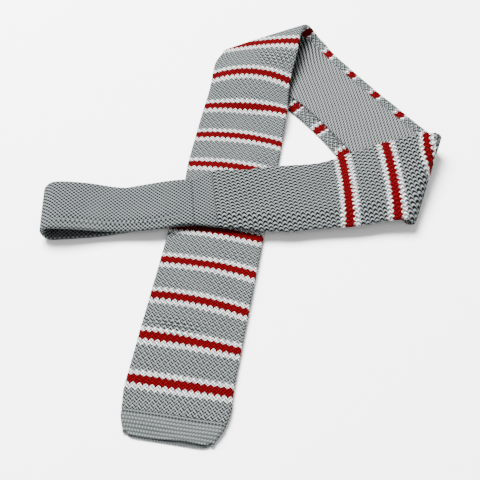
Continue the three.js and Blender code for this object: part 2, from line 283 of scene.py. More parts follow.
class Strip:
    """The folded strip's middle surface and its thickness directions.

    PROBE is the step in millimetres for slopes, PAST_EDGE and NUDGE_EDGE how far past the edges
    heights and nudges still grow, and SHARP the radius of a fold with no opening.
    """

    PROBE = 0.05
    PAST_EDGE = 1.3
    NUDGE_EDGE = 1.1
    SHARP = 1e-6

    def __init__(self, sizes: TieSizes) -> None:
        """Work out the middle line's stretches, the fold lines and the runs' plane moves.

        Args:
            sizes: sizes of the tie and of how it lies.
        """
        self.sizes = sizes
        self.stretches = self._stretches()
        self.lines: list[FoldLine] = []
        self.moves: list[tuple[Array, Array]] = [(np.eye(2), np.zeros(2))]
        for fold in sizes.folds:
            point, heading = self.middle_line(np.array(fold.along))
            angle = float(heading) - math.pi / 2 + math.radians(fold.skew)
            line = np.array([math.cos(angle), math.sin(angle)])
            self.lines.append(FoldLine(point, line, np.array([-line[1], line[0]])))
            mirror = 2 * np.outer(line, line) - np.eye(2)
            turn, shift = self.moves[-1]
            self.moves.append((turn @ mirror, turn @ (point - mirror @ point) + shift))
        turn, shift = self.moves[Run.BACK.value]
        self.back_point = turn @ self.lines[0].point + shift
        self.back_across = turn @ np.array([1.0, 0.0])

    def _stretches(self) -> list[Swerve]:
        """Straight and swerving stretches of the middle line, in order.

        Returns:
            The stretches, the last one past the strip's end.
        """
        stretches, at = [], 0.0
        for swerve in self.sizes.swerves:
            if swerve.start > at:
                stretches.append(Swerve(at, swerve.start, 0.0))
            stretches.append(swerve)
            at = swerve.end
        return stretches + [Swerve(at, self.sizes.end * 2, 0.0)]

    def middle_line(self, along: Array) -> tuple[Array, Array]:
        """Points and headings of the unfolded middle line: straight stretches and arcs.

        Args:
            along: distances from the hem end.

        Returns:
            The points, and the headings in radians.
        """
        along = np.asarray(along, float)
        x, y = np.zeros(along.shape), np.full(along.shape, -self.sizes.origin_from_hem)
        heading = np.full(along.shape, math.pi / 2)
        for stretch in self.stretches:
            gone = np.minimum(along, stretch.end) - stretch.start
            if stretch.start > 0:
                gone = np.maximum(gone, 0.0)
            curvature = math.radians(stretch.turn) / (stretch.end - stretch.start)
            after = heading + curvature * gone
            if curvature == 0.0:
                x, y = x + gone * np.cos(heading), y + gone * np.sin(heading)
            else:
                x = x + (np.sin(after) - np.sin(heading)) / curvature
                y = y - (np.cos(after) - np.cos(heading)) / curvature
            heading = after
        return np.stack([x, y], -1), heading

    def width(self, along: Array) -> Array:
        """Width of the strip: the blade's table, eased to the neck band's.

        Args:
            along: distances from the hem end.

        Returns:
            The widths.
        """
        sizes = self.sizes
        blade = sizes.blade_width * eased_table(sizes.blade_widths, along / sizes.blade_length)
        past = along - sizes.blade_length
        band = sizes.neck_width * eased_table(sizes.band_widths, past / sizes.neck_to_loop)
        return blade + (band - blade) * ease(past / sizes.seam_blend)

    def reach(self, along: Array, across: Array) -> Array:
        """Distance to the right of the middle line, with the edges' nudges and the shift.

        Args:
            along: distances from the hem end.
            across: shares across.

        Returns:
            The distances, below zero to the left.
        """
        out = across * self.width(along) / 2 + eased_table(self.sizes.shifts, along)
        for nudge in self.sizes.nudges:
            near = np.exp(-(((along - nudge.along) / nudge.spread) ** 2))
            edge = np.clip((1 + nudge.side * across) / 2, 0, self.NUDGE_EDGE) ** 2
            out = out - nudge.side * nudge.inward * near * edge
        return out

    def lumps(self, plan: Array) -> Array:
        """Soft lumps of the cloth, alike in all layers and never below zero.

        The sum of a wave across times a wave along, a slanted wave and a weaker steep one is
        eased from its least value over its span.

        Args:
            plan: plan points.

        Returns:
            Heights of the lumps.
        """
        x, y = plan[..., 0], plan[..., 1]
        crossed = np.sin(x / 9.0 + 0.7) * np.sin(y / 13.0 + 0.4)
        slanted = np.sin((x + y) / 17.0)
        steep = 0.6 * np.sin((x - 1.6 * y) / 7.5 + 1.0)
        least, span = -1.6, 4.2
        return self.sizes.lump * ease((crossed + slanted + steep - least) / span)

    def fold_heights(self, fold: int, right: Array) -> tuple[Array, Array]:
        """Heights of the middle just before and just after a fold, by the share to the right.

        Args:
            fold: which fold.
            right: share of the way from the left to the right edge.

        Returns:
            The two heights.
        """
        sizes = self.sizes
        if fold == 0:
            after = sizes.floor_middle + sizes.bank * sizes.back_bank[0][1] * right
            wider = sizes.roll_opening_right - sizes.roll_opening_left
            opening = sizes.roll_opening_left + wider * right
            return after + sizes.thickness + opening, after
        if fold == 1:
            return sizes.floor_middle + sizes.bank * right, sizes.crossing_middle + sizes.bank * right
        low = sizes.band_thickness / 2 + 0 * right
        return low + 2 * sizes.loop_radius, low

    def over_front(self, plan: Array) -> Array:
        """Share by which plan points lie over the front run, eased outside its edges.

        Args:
            plan: plan points.

        Returns:
            The shares, 0 to 1.
        """
        sizes = self.sizes
        inside = sizes.blade_width / 2 - np.abs(plan[..., 0])
        return ease((inside + sizes.ramp_over_front) / sizes.ramp_over_front)

    def over_back(self, plan: Array) -> Array:
        """Share by which plan points lie over the back run, eased before its edge.

        Args:
            plan: plan points.

        Returns:
            The shares, 0 to 1.
        """
        sizes = self.sizes
        inside = sizes.blade_width / 2 + (plan - self.back_point) @ self.back_across
        return ease((inside + sizes.lead_over_back + sizes.ramp_over_back) / sizes.ramp_over_back)

    def run_height(
        self, run: Run, along: Array, right: Array, gone: Array, left: Array, plan: Array,
    ) -> Array:
        """Height of the middle in a run.

        Args:
            run: which run.
            along: distances from the hem end.
            right: share of the way from the left to the right edge.
            gone: ground since the fold before.
            left: ground left to the fold after.
            plan: plan points.

        Returns:
            Heights: the run's rest on what lies under it, its banked outer edge and its
            climb to the next fold, each eased into the next. The crossing run's left edge
            sags beside the band that lies under it.
        """
        sizes = self.sizes
        share = gone / np.maximum(gone + left, self.PROBE)
        if run is Run.FRONT:
            resting = sizes.floor_middle + sizes.blade_stack * self.over_back(plan)
            return resting + (self.fold_heights(0, right)[0] - resting) * ease(1 - left / sizes.roll_rise)
        if run is Run.BACK:
            return sizes.floor_middle + sizes.bank * eased_table(sizes.back_bank, share) * right
        beneath = sizes.band_thickness / 2 + sizes.blade_stack * self.over_front(plan)
        if run is Run.TAIL:
            low = sizes.band_thickness / 2
            return low + (beneath - low) * ease(gone / sizes.settle_after_loop)
        sag = sizes.sag * ease(1 - right / sizes.sag_share) * ease(gone / sizes.sag_start)
        banked = sizes.bank * eased_table(sizes.crossing_bank, share) * right
        crossing = sizes.crossing_middle + banked - sag
        puff = (2 * sizes.loop_radius - sizes.band_stack) * ease(1 - left / sizes.loop_rise)
        band = beneath + sizes.band_stack + puff
        return crossing + (band - crossing) * ease((along - sizes.blade_length) / sizes.seam_blend)

    def middle(self, along: Array, across: Array) -> Array:
        """Points on the middle of the thickness.

        The flat strip is mirrored across each fold line that it has passed. Within a quarter
        turn of a fold line it goes round a half circle there, whose radius is half the
        difference of the heights before and after.

        Args:
            along: distances from the hem end.
            across: shares across.

        Returns:
            Points, in millimetres.
        """
        along, across = np.broadcast_arrays(np.asarray(along, float), np.asarray(across, float))
        point, heading = self.middle_line(along)
        reach = self.reach(along, across)
        flat = point + reach[..., None] * np.stack([np.sin(heading), -np.cos(heading)], -1)
        right = (np.clip(across, -self.PAST_EDGE, self.PAST_EDGE) + 1) / 2
        past = [(flat - line.point) @ line.past for line in self.lines]
        bends = [self.fold_heights(fold, right) for fold in range(len(self.lines))]
        radius = [np.maximum(np.abs(before - after) / 2, self.SHARP) for before, after in bends]
        half = [math.pi * size / 2 for size in radius]
        which = np.zeros(along.shape, int)
        for fold, gone in enumerate(past):
            which = which + ((which == fold) & (gone > 0))
        out = np.zeros(along.shape + (3,))
        for run in Run:
            number = run.value
            here = which == number
            turn, shift = self.moves[number]
            plan = flat @ turn.T + shift
            gone = past[number - 1] - half[number - 1] if number > 0 else along
            left = -past[number] - half[number] if number < len(past) else self.sizes.end - along
            height = self.run_height(run, along, right, np.maximum(gone, 0), np.maximum(left, 0), plan)
            for fold in (number - 1, number):
                if 0 <= fold < len(past):
                    bent, foot, rise = self._bend(fold, flat, past[fold], radius[fold], bends[fold])
                    plan = np.where(bent[..., None], foot, plan)
                    height = np.where(bent, rise, height)
            out[..., :2] = np.where(here[..., None], plan, out[..., :2])
            out[..., 2] = np.where(here, height + self.lumps(plan), out[..., 2])
        return out

    def _bend(
        self, fold: int, flat: Array, past: Array, radius: Array, heights: tuple[Array, Array],
    ) -> tuple[Array, Array, Array]:
        """Half circle of the strip round a fold.

        Args:
            fold: which fold.
            flat: points of the unfolded strip.
            past: how far each lies past the fold line.
            radius: radius of the half circle.
            heights: heights of the middle before and after the fold.

        Returns:
            Where the strip goes round, its plan points there and its heights there.
        """
        before, after = heights
        bent = np.abs(past) < math.pi * radius / 2
        out = radius * np.cos(past / radius) - math.pi * radius / 2
        turn, shift = self.moves[fold]
        foot = (flat + (out - past)[..., None] * self.lines[fold].past) @ turn.T + shift
        rise = (before + after) / 2 + np.sign(after - before) * radius * np.sin(past / radius)
        return bent, foot, rise

    def place(self, along: Array, across: Array, depth: Array) -> Array:
        """Points at depths in the thickness: the middle plus depth times its unit normal.

        Args:
            along: distances from the hem end.
            across: shares across.
            depth: depths, towards the front side.

        Returns:
            The points, in millimetres.
        """
        probe = self.PROBE
        share = probe / (self.width(along) / 2)
        forward = self.middle(along + probe, across) - self.middle(along - probe, across)
        sideways = self.middle(along, across + share) - self.middle(along, across - share)
        normal = np.cross(sideways, forward)
        normal /= np.linalg.norm(normal, axis=-1, keepdims=True)
        return self.middle(along, across) + depth[..., None] * normal


@dataclass
class Section:
    """An outline across the strip, as arrays with one entry for each point.

    Attributes:
        share: place across, -1 to 1.
        inset: millimetres added to that place, towards the right.
        depth: depth in the thickness.
        out_inset, out_depth: the outward direction in the section.
        girth: millimetres of cloth from the middle of the front, round the left or right side.
        relief: share of the knit's relief that the point takes.
    """

    share: Array
    inset: Array
    depth: Array
    out_inset: Array
    out_depth: Array
    girth: Array
    relief: Array

    @staticmethod
    def join(parts: list["Section"]) -> "Section":
        """One outline from several.

        Args:
            parts: the parts, in order.

        Returns:
            The outline.
        """
        names = Section.__dataclass_fields__
        joined = {name: np.concatenate([getattr(part, name) for part in parts]) for name in names}
        return Section(**joined)

    def mirrored(self) -> "Section":
        """The same outline on the other side, walked the other way.

        Returns:
            The mirrored outline, its girth below zero.
        """
        flip = slice(None, None, -1)
        return Section(
            -self.share[flip], -self.inset[flip], self.depth[flip],
            -self.out_inset[flip], self.out_depth[flip], -self.girth[flip], self.relief[flip],
        )


def flat_wall(start: float, end: float, inset: float, depth: float, facing: int, count: int,
              half: float, relief: float = 1.0) -> Section:
    """A flat stretch across the strip at one depth.

    Args:
        start, end: shares across at its ends.
        inset: millimetres kept free at each edge.
        depth: its depth.
        facing: +1 where it faces the front side, -1 where it faces the back.
        count: points.
        half: nominal half width that the girth is measured on.
        relief: share of the knit's relief.

    Returns:
        The stretch.
    """
    share = np.linspace(start, end, count)
    zero = np.zeros(count)
    return Section(
        share, -share * inset, zero + depth, zero, zero + facing,
        share * (half - inset), zero + relief,
    )


def edge_flat(side: int, start: float, end: float, depth: float, facing: int, count: int,
              girth: float, relief: float = 1.0) -> Section:
    """A flat stretch measured in millimetres from one edge.

    Args:
        side: which edge, -1 or +1.
        start, end: distances of its ends from that edge.
        depth: its depth.
        facing: +1 where it faces the front side, -1 where it faces the back.
        count: points.
        girth: girth at its start, from where it grows.
        relief: share of the knit's relief.

    Returns:
        The stretch.
    """
    inset = np.linspace(start, end, count)
    zero = np.zeros(count)
    return Section(
        zero + side, -side * inset, zero + depth, zero, zero + facing,
        side * (girth + np.abs(inset - start)), zero + relief,
    )


def edge_round(side: int, inset: float, start: float, end: float, count: int, girth: float,
               relief: float = 1.0, outwards: int = 1) -> Section:
    """A half circle from one depth to another.

    Args:
        side: which edge, -1 or +1.
        inset: distance of its two ends from the edge.
        start, end: depths of its two ends.
        count: points between them.
        girth: girth at its start.
        relief: share of the knit's relief.
        outwards: +1 where it bulges to the edge, -1 where it bulges to the middle.

    Returns:
        The half circle, without its two ends.
    """
    angle = math.pi * np.arange(1, count + 1) / (count + 1)
    radius = abs(start - end) / 2
    middle = (start + end) / 2
    sign = math.copysign(1.0, start - end)
    reach = inset - outwards * radius * np.sin(angle)
    return Section(
        np.full(count, float(side)), -side * reach, middle + sign * radius * np.cos(angle),
        side * outwards * np.sin(angle), sign * np.cos(angle),
        side * (girth + radius * angle), np.full(count, relief),
    )


@dataclass
class Rows:
    """Rows of a surface carried along the strip, one entry for each.

    Attributes:
        along: distances from the hem end.
        trim: millimetres taken off all round, for rounded ends and inner walls.
        slim: share of the section's depth that is kept.
    """

    along: Array
    trim: Array
    slim: Array


@dataclass
class Grid:
    """Points of a section carried along the strip, with the cloth's own coordinates."""

    points: Array
    girth: Array
    along: Array


Field = Callable[[Array, Array], Array]


class ClothBuilder:
    """Makes meshes from sections carried along the strip.

    ASLANT is a direction that no thread runs in, from which its rings are laid out.
    """

    ASLANT = np.array([0.31, 0.17, 0.93])

    def __init__(self, strip: Strip) -> None:
        """Keep the strip."""
        self.strip = strip

    def carry(self, section: Section, rows: Rows, relief: Field,
              recede: Callable[[Array, Array, Array], Array] | None = None,
              wider: Array | float = 0.0, nominal: float | None = None) -> Grid:
        """Carry a section along the strip.

        Args:
            section: the outline.
            rows: where it is put, and what is taken off it there.
            relief: height of the knit's relief for arrays of girth and along.
            recede: millimetres by which a point lies further along, for arrays of the share
                across, the depth and along.
            wider: millimetres by which the right edge reaches out, one for each row.
            nominal: width that the girths are measured on; where the strip narrows to the neck
                they are then scaled to its real width, so that the stitches keep their size.

        Returns:
            A grid with a row for each station. A point is the section's point moved along its
            outward direction by the relief less the trim.
        """
        sizes = self.strip.sizes
        along = rows.along[:, None] + 0 * section.share[None, :]
        girth = section.girth[None, :] + 0 * along
        if nominal is not None:
            real = self.strip.width(along) / nominal
            narrowed = ease((along - sizes.narrowing_start) / sizes.narrowing_length)
            girth = girth * (1 + (real - 1) * narrowed)
        share = section.share[None, :] + 0 * along
        if recede is not None:
            along = along + recede(share, section.depth[None, :], along)
        proud = relief(girth, along) * section.relief[None, :] - rows.trim[:, None]
        inset = section.inset[None, :] + proud * section.out_inset[None, :]
        inset = inset + np.reshape(wider, (-1, 1)) * (section.share[None, :] + 1) / 2
        depth = section.depth[None, :] * rows.slim[:, None] + proud * section.out_depth[None, :]
        across = share + 2 * inset / self.strip.width(along)
        return Grid(self.strip.place(along, across, depth), girth, along)

    def mesh(self, name: str, grid: Grid, pattern: Array | None = None) -> bpy.types.Object:
        """A closed tube of a grid's rows, each row a closed outline, capped at both ends.

        Args:
            name: the piece's name.
            grid: the points.
            pattern: two values for each point, kept in the second UV map.

        Returns:
            The object, smooth shaded, with the UV map "cloth" of girth and along.
        """
        rows, cols = grid.points.shape[:2]
        index = np.arange(rows * cols).reshape(rows, cols)
        right = np.roll(index, -1, axis=1)
        quads = np.stack([index[:-1], right[:-1], right[1:], index[1:]], -1).reshape(-1, 4)
        caps = np.stack([index[0][::-1], index[-1]])
        loops = np.concatenate([quads.ravel(), caps.ravel()])
        starts = np.concatenate([np.arange(len(quads)) * 4, 4 * len(quads) + cols * np.arange(2)])
        maps = {"cloth": np.stack([grid.girth, grid.along], -1).reshape(-1, 2)[loops]}
        if pattern is not None:
            maps["pattern"] = pattern.reshape(-1, 2)[loops]
        return self.fill(name, grid.points.reshape(-1, 3), loops, starts, maps)

    def strands(self, name: str, lines: Array, radius: float, sides: int = 6) -> bpy.types.Object:
        """Short round threads, all of one number of points.

        Args:
            name: the piece's name.
            lines: their middle lines, indexed by thread, point and axis.
            radius: thread radius.
            sides: points round a thread.

        Returns:
            The object. Each ring lies across its line and shrinks at the thread's two ends.
        """
        count, steps = lines.shape[:2]
        ahead = np.gradient(lines, axis=1)
        ahead /= np.linalg.norm(ahead, axis=-1, keepdims=True)
        side = np.cross(ahead, self.ASLANT)
        side /= np.linalg.norm(side, axis=-1, keepdims=True)
        other = np.cross(ahead, side)
        turn = TAU * np.arange(sides) / sides
        taper = np.sqrt(np.clip(1 - np.linspace(-1, 1, steps) ** 6, 0.05, 1))
        ring = np.cos(turn)[:, None] * side[..., None, :] + np.sin(turn)[:, None] * other[..., None, :]
        points = lines[..., None, :] + radius * taper[:, None, None] * ring
        index = np.arange(count * steps * sides).reshape(count, steps, sides)
        right = np.roll(index, -1, axis=2)
        corners = [index[:, :-1], right[:, :-1], right[:, 1:], index[:, 1:]]
        quads = np.stack(corners, -1).reshape(-1, 4)
        caps = np.concatenate([index[:, 0, ::-1], index[:, -1]])
        loops = np.concatenate([quads.ravel(), caps.ravel()])
        starts = np.concatenate([np.arange(len(quads)) * 4, 4 * len(quads) + sides * np.arange(2 * count)])
        length = np.broadcast_to(np.arange(steps)[:, None], (count, steps, sides)) * radius
        around = np.broadcast_to(turn, (count, steps, sides)) * radius
        maps = {"cloth": np.stack([around, length], -1).reshape(-1, 2)[loops]}
        return self.fill(name, points.reshape(-1, 3), loops, starts, maps)

    @staticmethod
    def fill(
        name: str, points: Array, loops: Array, starts: Array, maps: dict[str, Array],
    ) -> bpy.types.Object:
        """A smooth mesh object.

        Args:
            name: the piece's name.
            points: its points, in millimetres.
            loops: point indices of all face corners, face by face.
            starts: where each face's corners begin.
            maps: UV maps by name, with a row for each corner.

        Returns:
            The object.
        """
        mesh = bpy.data.meshes.new(name)
        mesh.vertices.add(len(points))
        mesh.vertices.foreach_set("co", (points * MM).astype(np.float32).ravel())
        mesh.loops.add(len(loops))
        mesh.loops.foreach_set("vertex_index", loops.astype(np.int32))
        mesh.polygons.add(len(starts))
        mesh.polygons.foreach_set("loop_start", starts.astype(np.int32))
        mesh.update(calc_edges=True)
        for title, corners in maps.items():
            mesh.uv_layers.new(name=title).data.foreach_set("uv", corners.astype(np.float32).ravel())
        mesh.polygons.foreach_set("use_smooth", np.ones(len(starts), bool))
        mesh.validate()
        piece = bpy.data.objects.new(name, mesh)
        bpy.context.scene.collection.objects.link(piece)
        return piece


class Graph:
    """Builder of one material's nodes. Each method adds a node and returns its output."""

    def __init__(self, name: str) -> None:
        """Start an empty node material.

        Args:
            name: material name.
        """
        self.material = bpy.data.materials.new(name)
        self.material.use_nodes = True
        self.tree = self.material.node_tree
        self.tree.nodes.clear()

    def node(self, kind: str, inputs: dict[str, object], **settings: object) -> bpy.types.Node:
        """Add a node with settings, and link or set its inputs by name.

        Args:
            kind: node type.
            inputs: sockets or values by input name.
            settings: attributes of the node.

        Returns:
            The node.
        """
        node = self.tree.nodes.new(kind)
        for key, value in settings.items():
            setattr(node, key, value)
        for key, value in inputs.items():
            self.put(node.inputs[key], value)
        return node

    def put(self, socket: Socket, value: object) -> None:
        """Link a socket into an input, or set its value.

        Args:
            socket: the input.
            value: what it gets.
        """
        if isinstance(value, bpy.types.NodeSocket):
            self.tree.links.new(value, socket)
        else:
            socket.default_value = value

    def math(self, operation: str, *values: object) -> Socket:
        """One Math node.

        Args:
            operation: the node's operation.
            values: sockets or numbers, in order.

        Returns:
            Its output.
        """
        node = self.tree.nodes.new("ShaderNodeMath")
        node.operation = operation
        for socket, value in zip(node.inputs, values):
            self.put(socket, value)
        return node.outputs[0]

    def add(self, *terms: object) -> Socket:
        """The sum of the terms.

        Args:
            terms: sockets or numbers.

        Returns:
            The sum.
        """
        total = terms[0]
        for term in terms[1:]:
            total = self.math("ADD", total, term)
        return total

    def sub(self, a: object, b: object) -> Socket:
        """a - b."""
        return self.math("SUBTRACT", a, b)

    def mul(self, *factors: object) -> Socket:
        """The product of the factors.

        Args:
            factors: sockets or numbers.

        Returns:
            The product.
        """
        total = factors[0]
        for factor in factors[1:]:
            total = self.math("MULTIPLY", total, factor)
        return total

    def fract(self, a: object) -> Socket:
        """The fraction of a."""
        return self.math("FRACT", a)

    def step(self, value: object, low: float, high: float) -> Socket:
        """0 at low, 1 at high, smooth between. Low may be above high.

        Args:
            value: what is looked at.
            low, high: where the step starts and ends.

        Returns:
            The step's height.
        """
        node = self.node(
            "ShaderNodeMapRange",
            {"Value": value, "From Min": low, "From Max": high},
            interpolation_type="SMOOTHSTEP",
        )
        return node.outputs["Result"]

    def within(self, value: object, half: float, soft: float) -> Socket:
        """1 where the value lies within half of zero, 0 outside, smooth between."""
        return self.step(self.math("ABSOLUTE", value), half + soft, half - soft)

    def cosine(self, turns: object) -> Socket:
        """Cosine of a number of turns."""
        return self.math("COSINE", self.mul(turns, TAU))

    def slanted(self, across: Socket, along: Socket, turns: tuple[float, float]) -> Socket:
        """A cosine wave of so many turns in a millimetre across and along."""
        return self.cosine(self.add(self.mul(across, turns[0]), self.mul(along, turns[1])))

    def hill(self, turns: object) -> Socket:
        """1 at whole turns and 0 halfway, as a triangle."""
        return self.math("ABSOLUTE", self.sub(self.mul(self.fract(turns), 2.0), 1.0))

    def blend(self, share: object, a: object, b: object) -> Socket:
        """Number between a and b.

        Args:
            share: 0 for a, 1 for b.
            a, b: the two numbers.

        Returns:
            The blend.
        """
        node = self.tree.nodes.new("ShaderNodeMix")
        self.put(node.inputs["Factor"], share)
        self.put(node.inputs["A"], a)
        self.put(node.inputs["B"], b)
        return node.outputs["Result"]

    def mix(self, share: object, a: object, b: object) -> Socket:
        """Colour between a and b.

        Args:
            share: 0 for a, 1 for b.
            a, b: the two colours.

        Returns:
            The blend.
        """
        node = self.tree.nodes.new("ShaderNodeMix")
        node.data_type = "RGBA"
        names = {"Factor": share, "A": a, "B": b}
        for socket in node.inputs:
            if socket.enabled and socket.name in names:
                self.put(socket, names[socket.name])
        return next(socket for socket in node.outputs if socket.enabled)

    def noise(self, vector: Socket, scale: float, detail: float = 2.0) -> Socket:
        """Soft noise, about -0.5 to 0.5."""
        node = self.node("ShaderNodeTexNoise", {"Vector": vector, "Scale": scale, "Detail": detail})
        return self.sub(node.outputs["Fac"], 0.5)

    def map(self, name: str) -> tuple[Socket, Socket, Socket]:
        """A UV map's two values and its vector.

        Args:
            name: the map's name.

        Returns:
            First value, second value, and both as a vector.
        """
        uv = self.node("ShaderNodeUVMap", {}, uv_map=name).outputs["UV"]
        split = self.node("ShaderNodeSeparateXYZ", {"Vector": uv})
        return split.outputs["X"], split.outputs["Y"], uv


@dataclass(frozen=True)
class Yarn:
    """Colours of one yarn, linear: where it stands proud, and a near-black painted shade down in the gaps.
    """

    light: tuple[float, float, float]
    gap_shade: tuple[float, float, float]

    def color(self, graph: Graph, height: Socket) -> Socket:
        """Colour by the stitch height, with painted shade where the height is low."""
        return graph.mix(height, (*self.gap_shade, 1.0), (*self.light, 1.0))


# Each yarn's dark colour is painted shade in the gaps between stitches.
GREY = Yarn((0.15, 0.164, 0.165), (0.0025, 0.003, 0.0032))
NECK_GREY = Yarn((0.11, 0.122, 0.123), (0.003, 0.0035, 0.004))
# The hem's grey is the front grey darkened: painted shade on the hem end.
SHADED_HEM_GREY = Yarn((0.118, 0.13, 0.131), (0.003, 0.0035, 0.004))
LINING_GREY = Yarn((0.162, 0.172, 0.172), (0.004, 0.0045, 0.0048))
WHITE = Yarn((0.6, 0.61, 0.605), (0.07, 0.074, 0.076))
RED = Yarn((0.08, 0.0002, 0.0016), (0.018, 0.0, 0.0003))


@dataclass(frozen=True)
class Finish:
    """What every yarn finish has in common.

    Attributes:
        name: material name.
        roughness: roughness of the yarn.
        gloss: specular level of the yarn.
        depth: depth of the stitches in metres, for the bump.
        fuzz: strength of the fine noise in the stitch height.
        low, high: summed heights that count as the bottom of a gap and as standing proud.
    """

    name: str
    roughness: float = 0.9
    gloss: float = 0.03
    depth: float = 0.0006
    fuzz: float = 0.25
    low: float = 0.2
    high: float = 0.8

    def clear(self, graph: Graph, height: Socket) -> Socket:
        """A summed height spread smoothly over 0 to 1."""
        return graph.step(height, self.low, self.high)

    def close(self, graph: Graph, color: Socket, height: Socket) -> bpy.types.Material:
        """Close a graph with a cloth shader of a colour and a stitch height from 0 to 1.

        Args:
            graph: the graph.
            color: base colour.
            height: stitch height, for the bump.

        Returns:
            The material.
        """
        bump = graph.node("ShaderNodeBump", {"Height": height, "Distance": self.depth, "Strength": 1.0})
        shader = graph.node(
            "ShaderNodeBsdfPrincipled",
            {"Base Color": color, "Roughness": self.roughness, "Specular IOR Level": self.gloss,
             "Normal": bump.outputs["Normal"]},
        )
        graph.node("ShaderNodeOutputMaterial", {"Surface": shader.outputs["BSDF"]})
        return graph.material


@dataclass(frozen=True)
class StripedKnit(Finish):
    """Tuck knit with red stripes edged in white.

    Attributes:
        across_pitch: millimetres between stitches across on the first runs.
        rows: stitch rows in one repeat of the stripes.
        scale_across, scale_along: the stitch cell on the crossing run.
        change, change_length: where the stitches change to the crossing run's.
        repeat: millimetres of one repeat.
        stripes: how many stripes there are.
        red_half, white_end: distances from a stripe's middle, in millimetres.
        red_soft, white_soft: half widths of their borders.
        turned_from, turned_to: girths between which the stretched turned edge begins.
        turned_more: how much further the red goes on the stretched turned edges.
        tooth, scallop: how far the two borders of the red wander.
        fray: how far the white wanders into the grey.
        drift: how far noise moves a stripe.
        patches: how much the tone of the cloth varies.
        red_share: how much of the stitch height shows in the red.
        level: middle height of the tuck stitches.
        lattice, lattice_patches, lattice_slack: strength of their lattice, how much it varies,
            and what slack adds to it.
        arch: how far each stitch is bent up, in rows.
        rings, plies, gaps: strengths of the rings, the plies and the gaps between rows.
        ply_turns: turns of the plies' wave in a millimetre across and along.
        scale_level: middle height of the crossing run's stitches.
        arrows, arrows_slack: strength of their lattice, and what slack adds to it.
        push: how far the arrows' middles are pushed outwards, in stitches.
    """

    across_pitch: float = 3.37
    rows: float = 6.0
    scale_across: float = 2.75
    scale_along: float = 5.65
    change: float = 458.0
    change_length: float = 16.0
    repeat: float = 25.8
    stripes: int = 20
    red_half: float = 2.7
    red_soft: float = 0.2
    turned_from: float = 28.0
    turned_to: float = 31.0
    turned_more: float = 0.55
    white_end: float = 5.3
    white_soft: float = 0.45
    tooth: float = 0.65
    scallop: float = 2.0
    fray: float = 1.5
    drift: float = 0.7
    patches: float = 0.25
    red_share: float = 0.7
    level: float = 0.48
    lattice: float = 0.1
    lattice_patches: float = 0.3
    lattice_slack: float = 0.2
    arch: float = 0.05
    rings: float = 0.3
    plies: float = 0.14
    gaps: float = 0.17
    ply_turns: tuple[float, float] = (0.277, 0.513)
    scale_level: float = 0.44
    arrows: float = 0.42
    arrows_slack: float = 0.2
    push: float = 0.2
    high: float = 0.78

    def material(self) -> bpy.types.Material:
        """The striped finish.

        The pattern map's first value counts stripes, so its fraction gives the distance from
        the nearest stripe. Red meets white in round bumps towards the hem and in small teeth
        on the far side, and the white frays into the grey between stitches.

        Returns:
            The material.
        """
        graph = Graph(self.name)
        girth, along, uv = graph.map("cloth")
        count, slack, _ = graph.map("pattern")
        crossing = graph.step(along, self.change, self.change + self.change_length)
        x = graph.mul(girth, 1 / self.across_pitch)
        nearest = graph.math("FLOOR", graph.add(count, 0.5))
        drift = graph.mul(graph.noise(uv, scale=0.8, detail=1.0), self.drift)
        away = graph.add(graph.mul(graph.sub(count, nearest), self.repeat), drift)
        bows = graph.math("ABSOLUTE", graph.cosine(graph.mul(x, 0.5)))
        bumps = graph.mul(graph.sub(bows, 0.5), self.scallop)
        teeth = graph.mul(graph.sub(graph.hill(graph.add(x, 0.25)), 0.5), 2 * self.tooth)
        far = graph.sub(away, teeth)
        near = graph.add(graph.mul(away, -1.0), bumps)
        on_edge = graph.step(graph.math("ABSOLUTE", girth), self.turned_from, self.turned_to)
        turned = graph.mul(on_edge, self.turned_more)
        outer = self.red_half + self.red_soft
        inner = self.red_half - self.red_soft
        red = graph.mul(
            graph.step(graph.sub(far, turned), outer, inner),
            graph.step(graph.sub(near, turned), outer, inner),
        )
        uneven = graph.mul(graph.noise(uv, scale=0.6, detail=0.0), 0.5)
        fray = graph.mul(graph.sub(graph.hill(graph.add(x, uneven)), 0.5), self.fray)
        white = graph.within(graph.sub(away, fray), self.white_end, self.white_soft)
        last = self.stripes + 0.5
        inside = graph.mul(graph.step(count, 0.45, 0.5), graph.step(count, last, last - 0.05))
        tuck = self.tuck_height(graph, x, graph.mul(count, self.rows), slack, girth, along, uv)
        scale_x = graph.mul(girth, 1 / self.scale_across)
        scale_y = graph.mul(along, 1 / self.scale_along)
        height = graph.blend(crossing, tuck, self.scale_height(graph, scale_x, scale_y, slack))
        fuzz = graph.mul(graph.noise(uv, scale=1.3, detail=2.0), self.fuzz)
        height = self.clear(graph, graph.add(height, fuzz))
        color = graph.mix(graph.mul(white, inside), GREY.color(graph, height), WHITE.color(graph, height))
        red_height = graph.add(graph.mul(height, self.red_share), 1 - self.red_share)
        color = graph.mix(graph.mul(red, inside), color, RED.color(graph, red_height))
        tone = graph.add(graph.mul(graph.noise(uv, scale=0.05, detail=1.0), self.patches), 1.0)
        shade = graph.node("ShaderNodeMix", {}, data_type="RGBA", blend_type="MULTIPLY")
        shade.inputs[0].default_value = 1.0
        graph.put(shade.inputs[6], color)
        graph.put(shade.inputs[7], tone)
        return self.close(graph, shade.outputs[2], height)

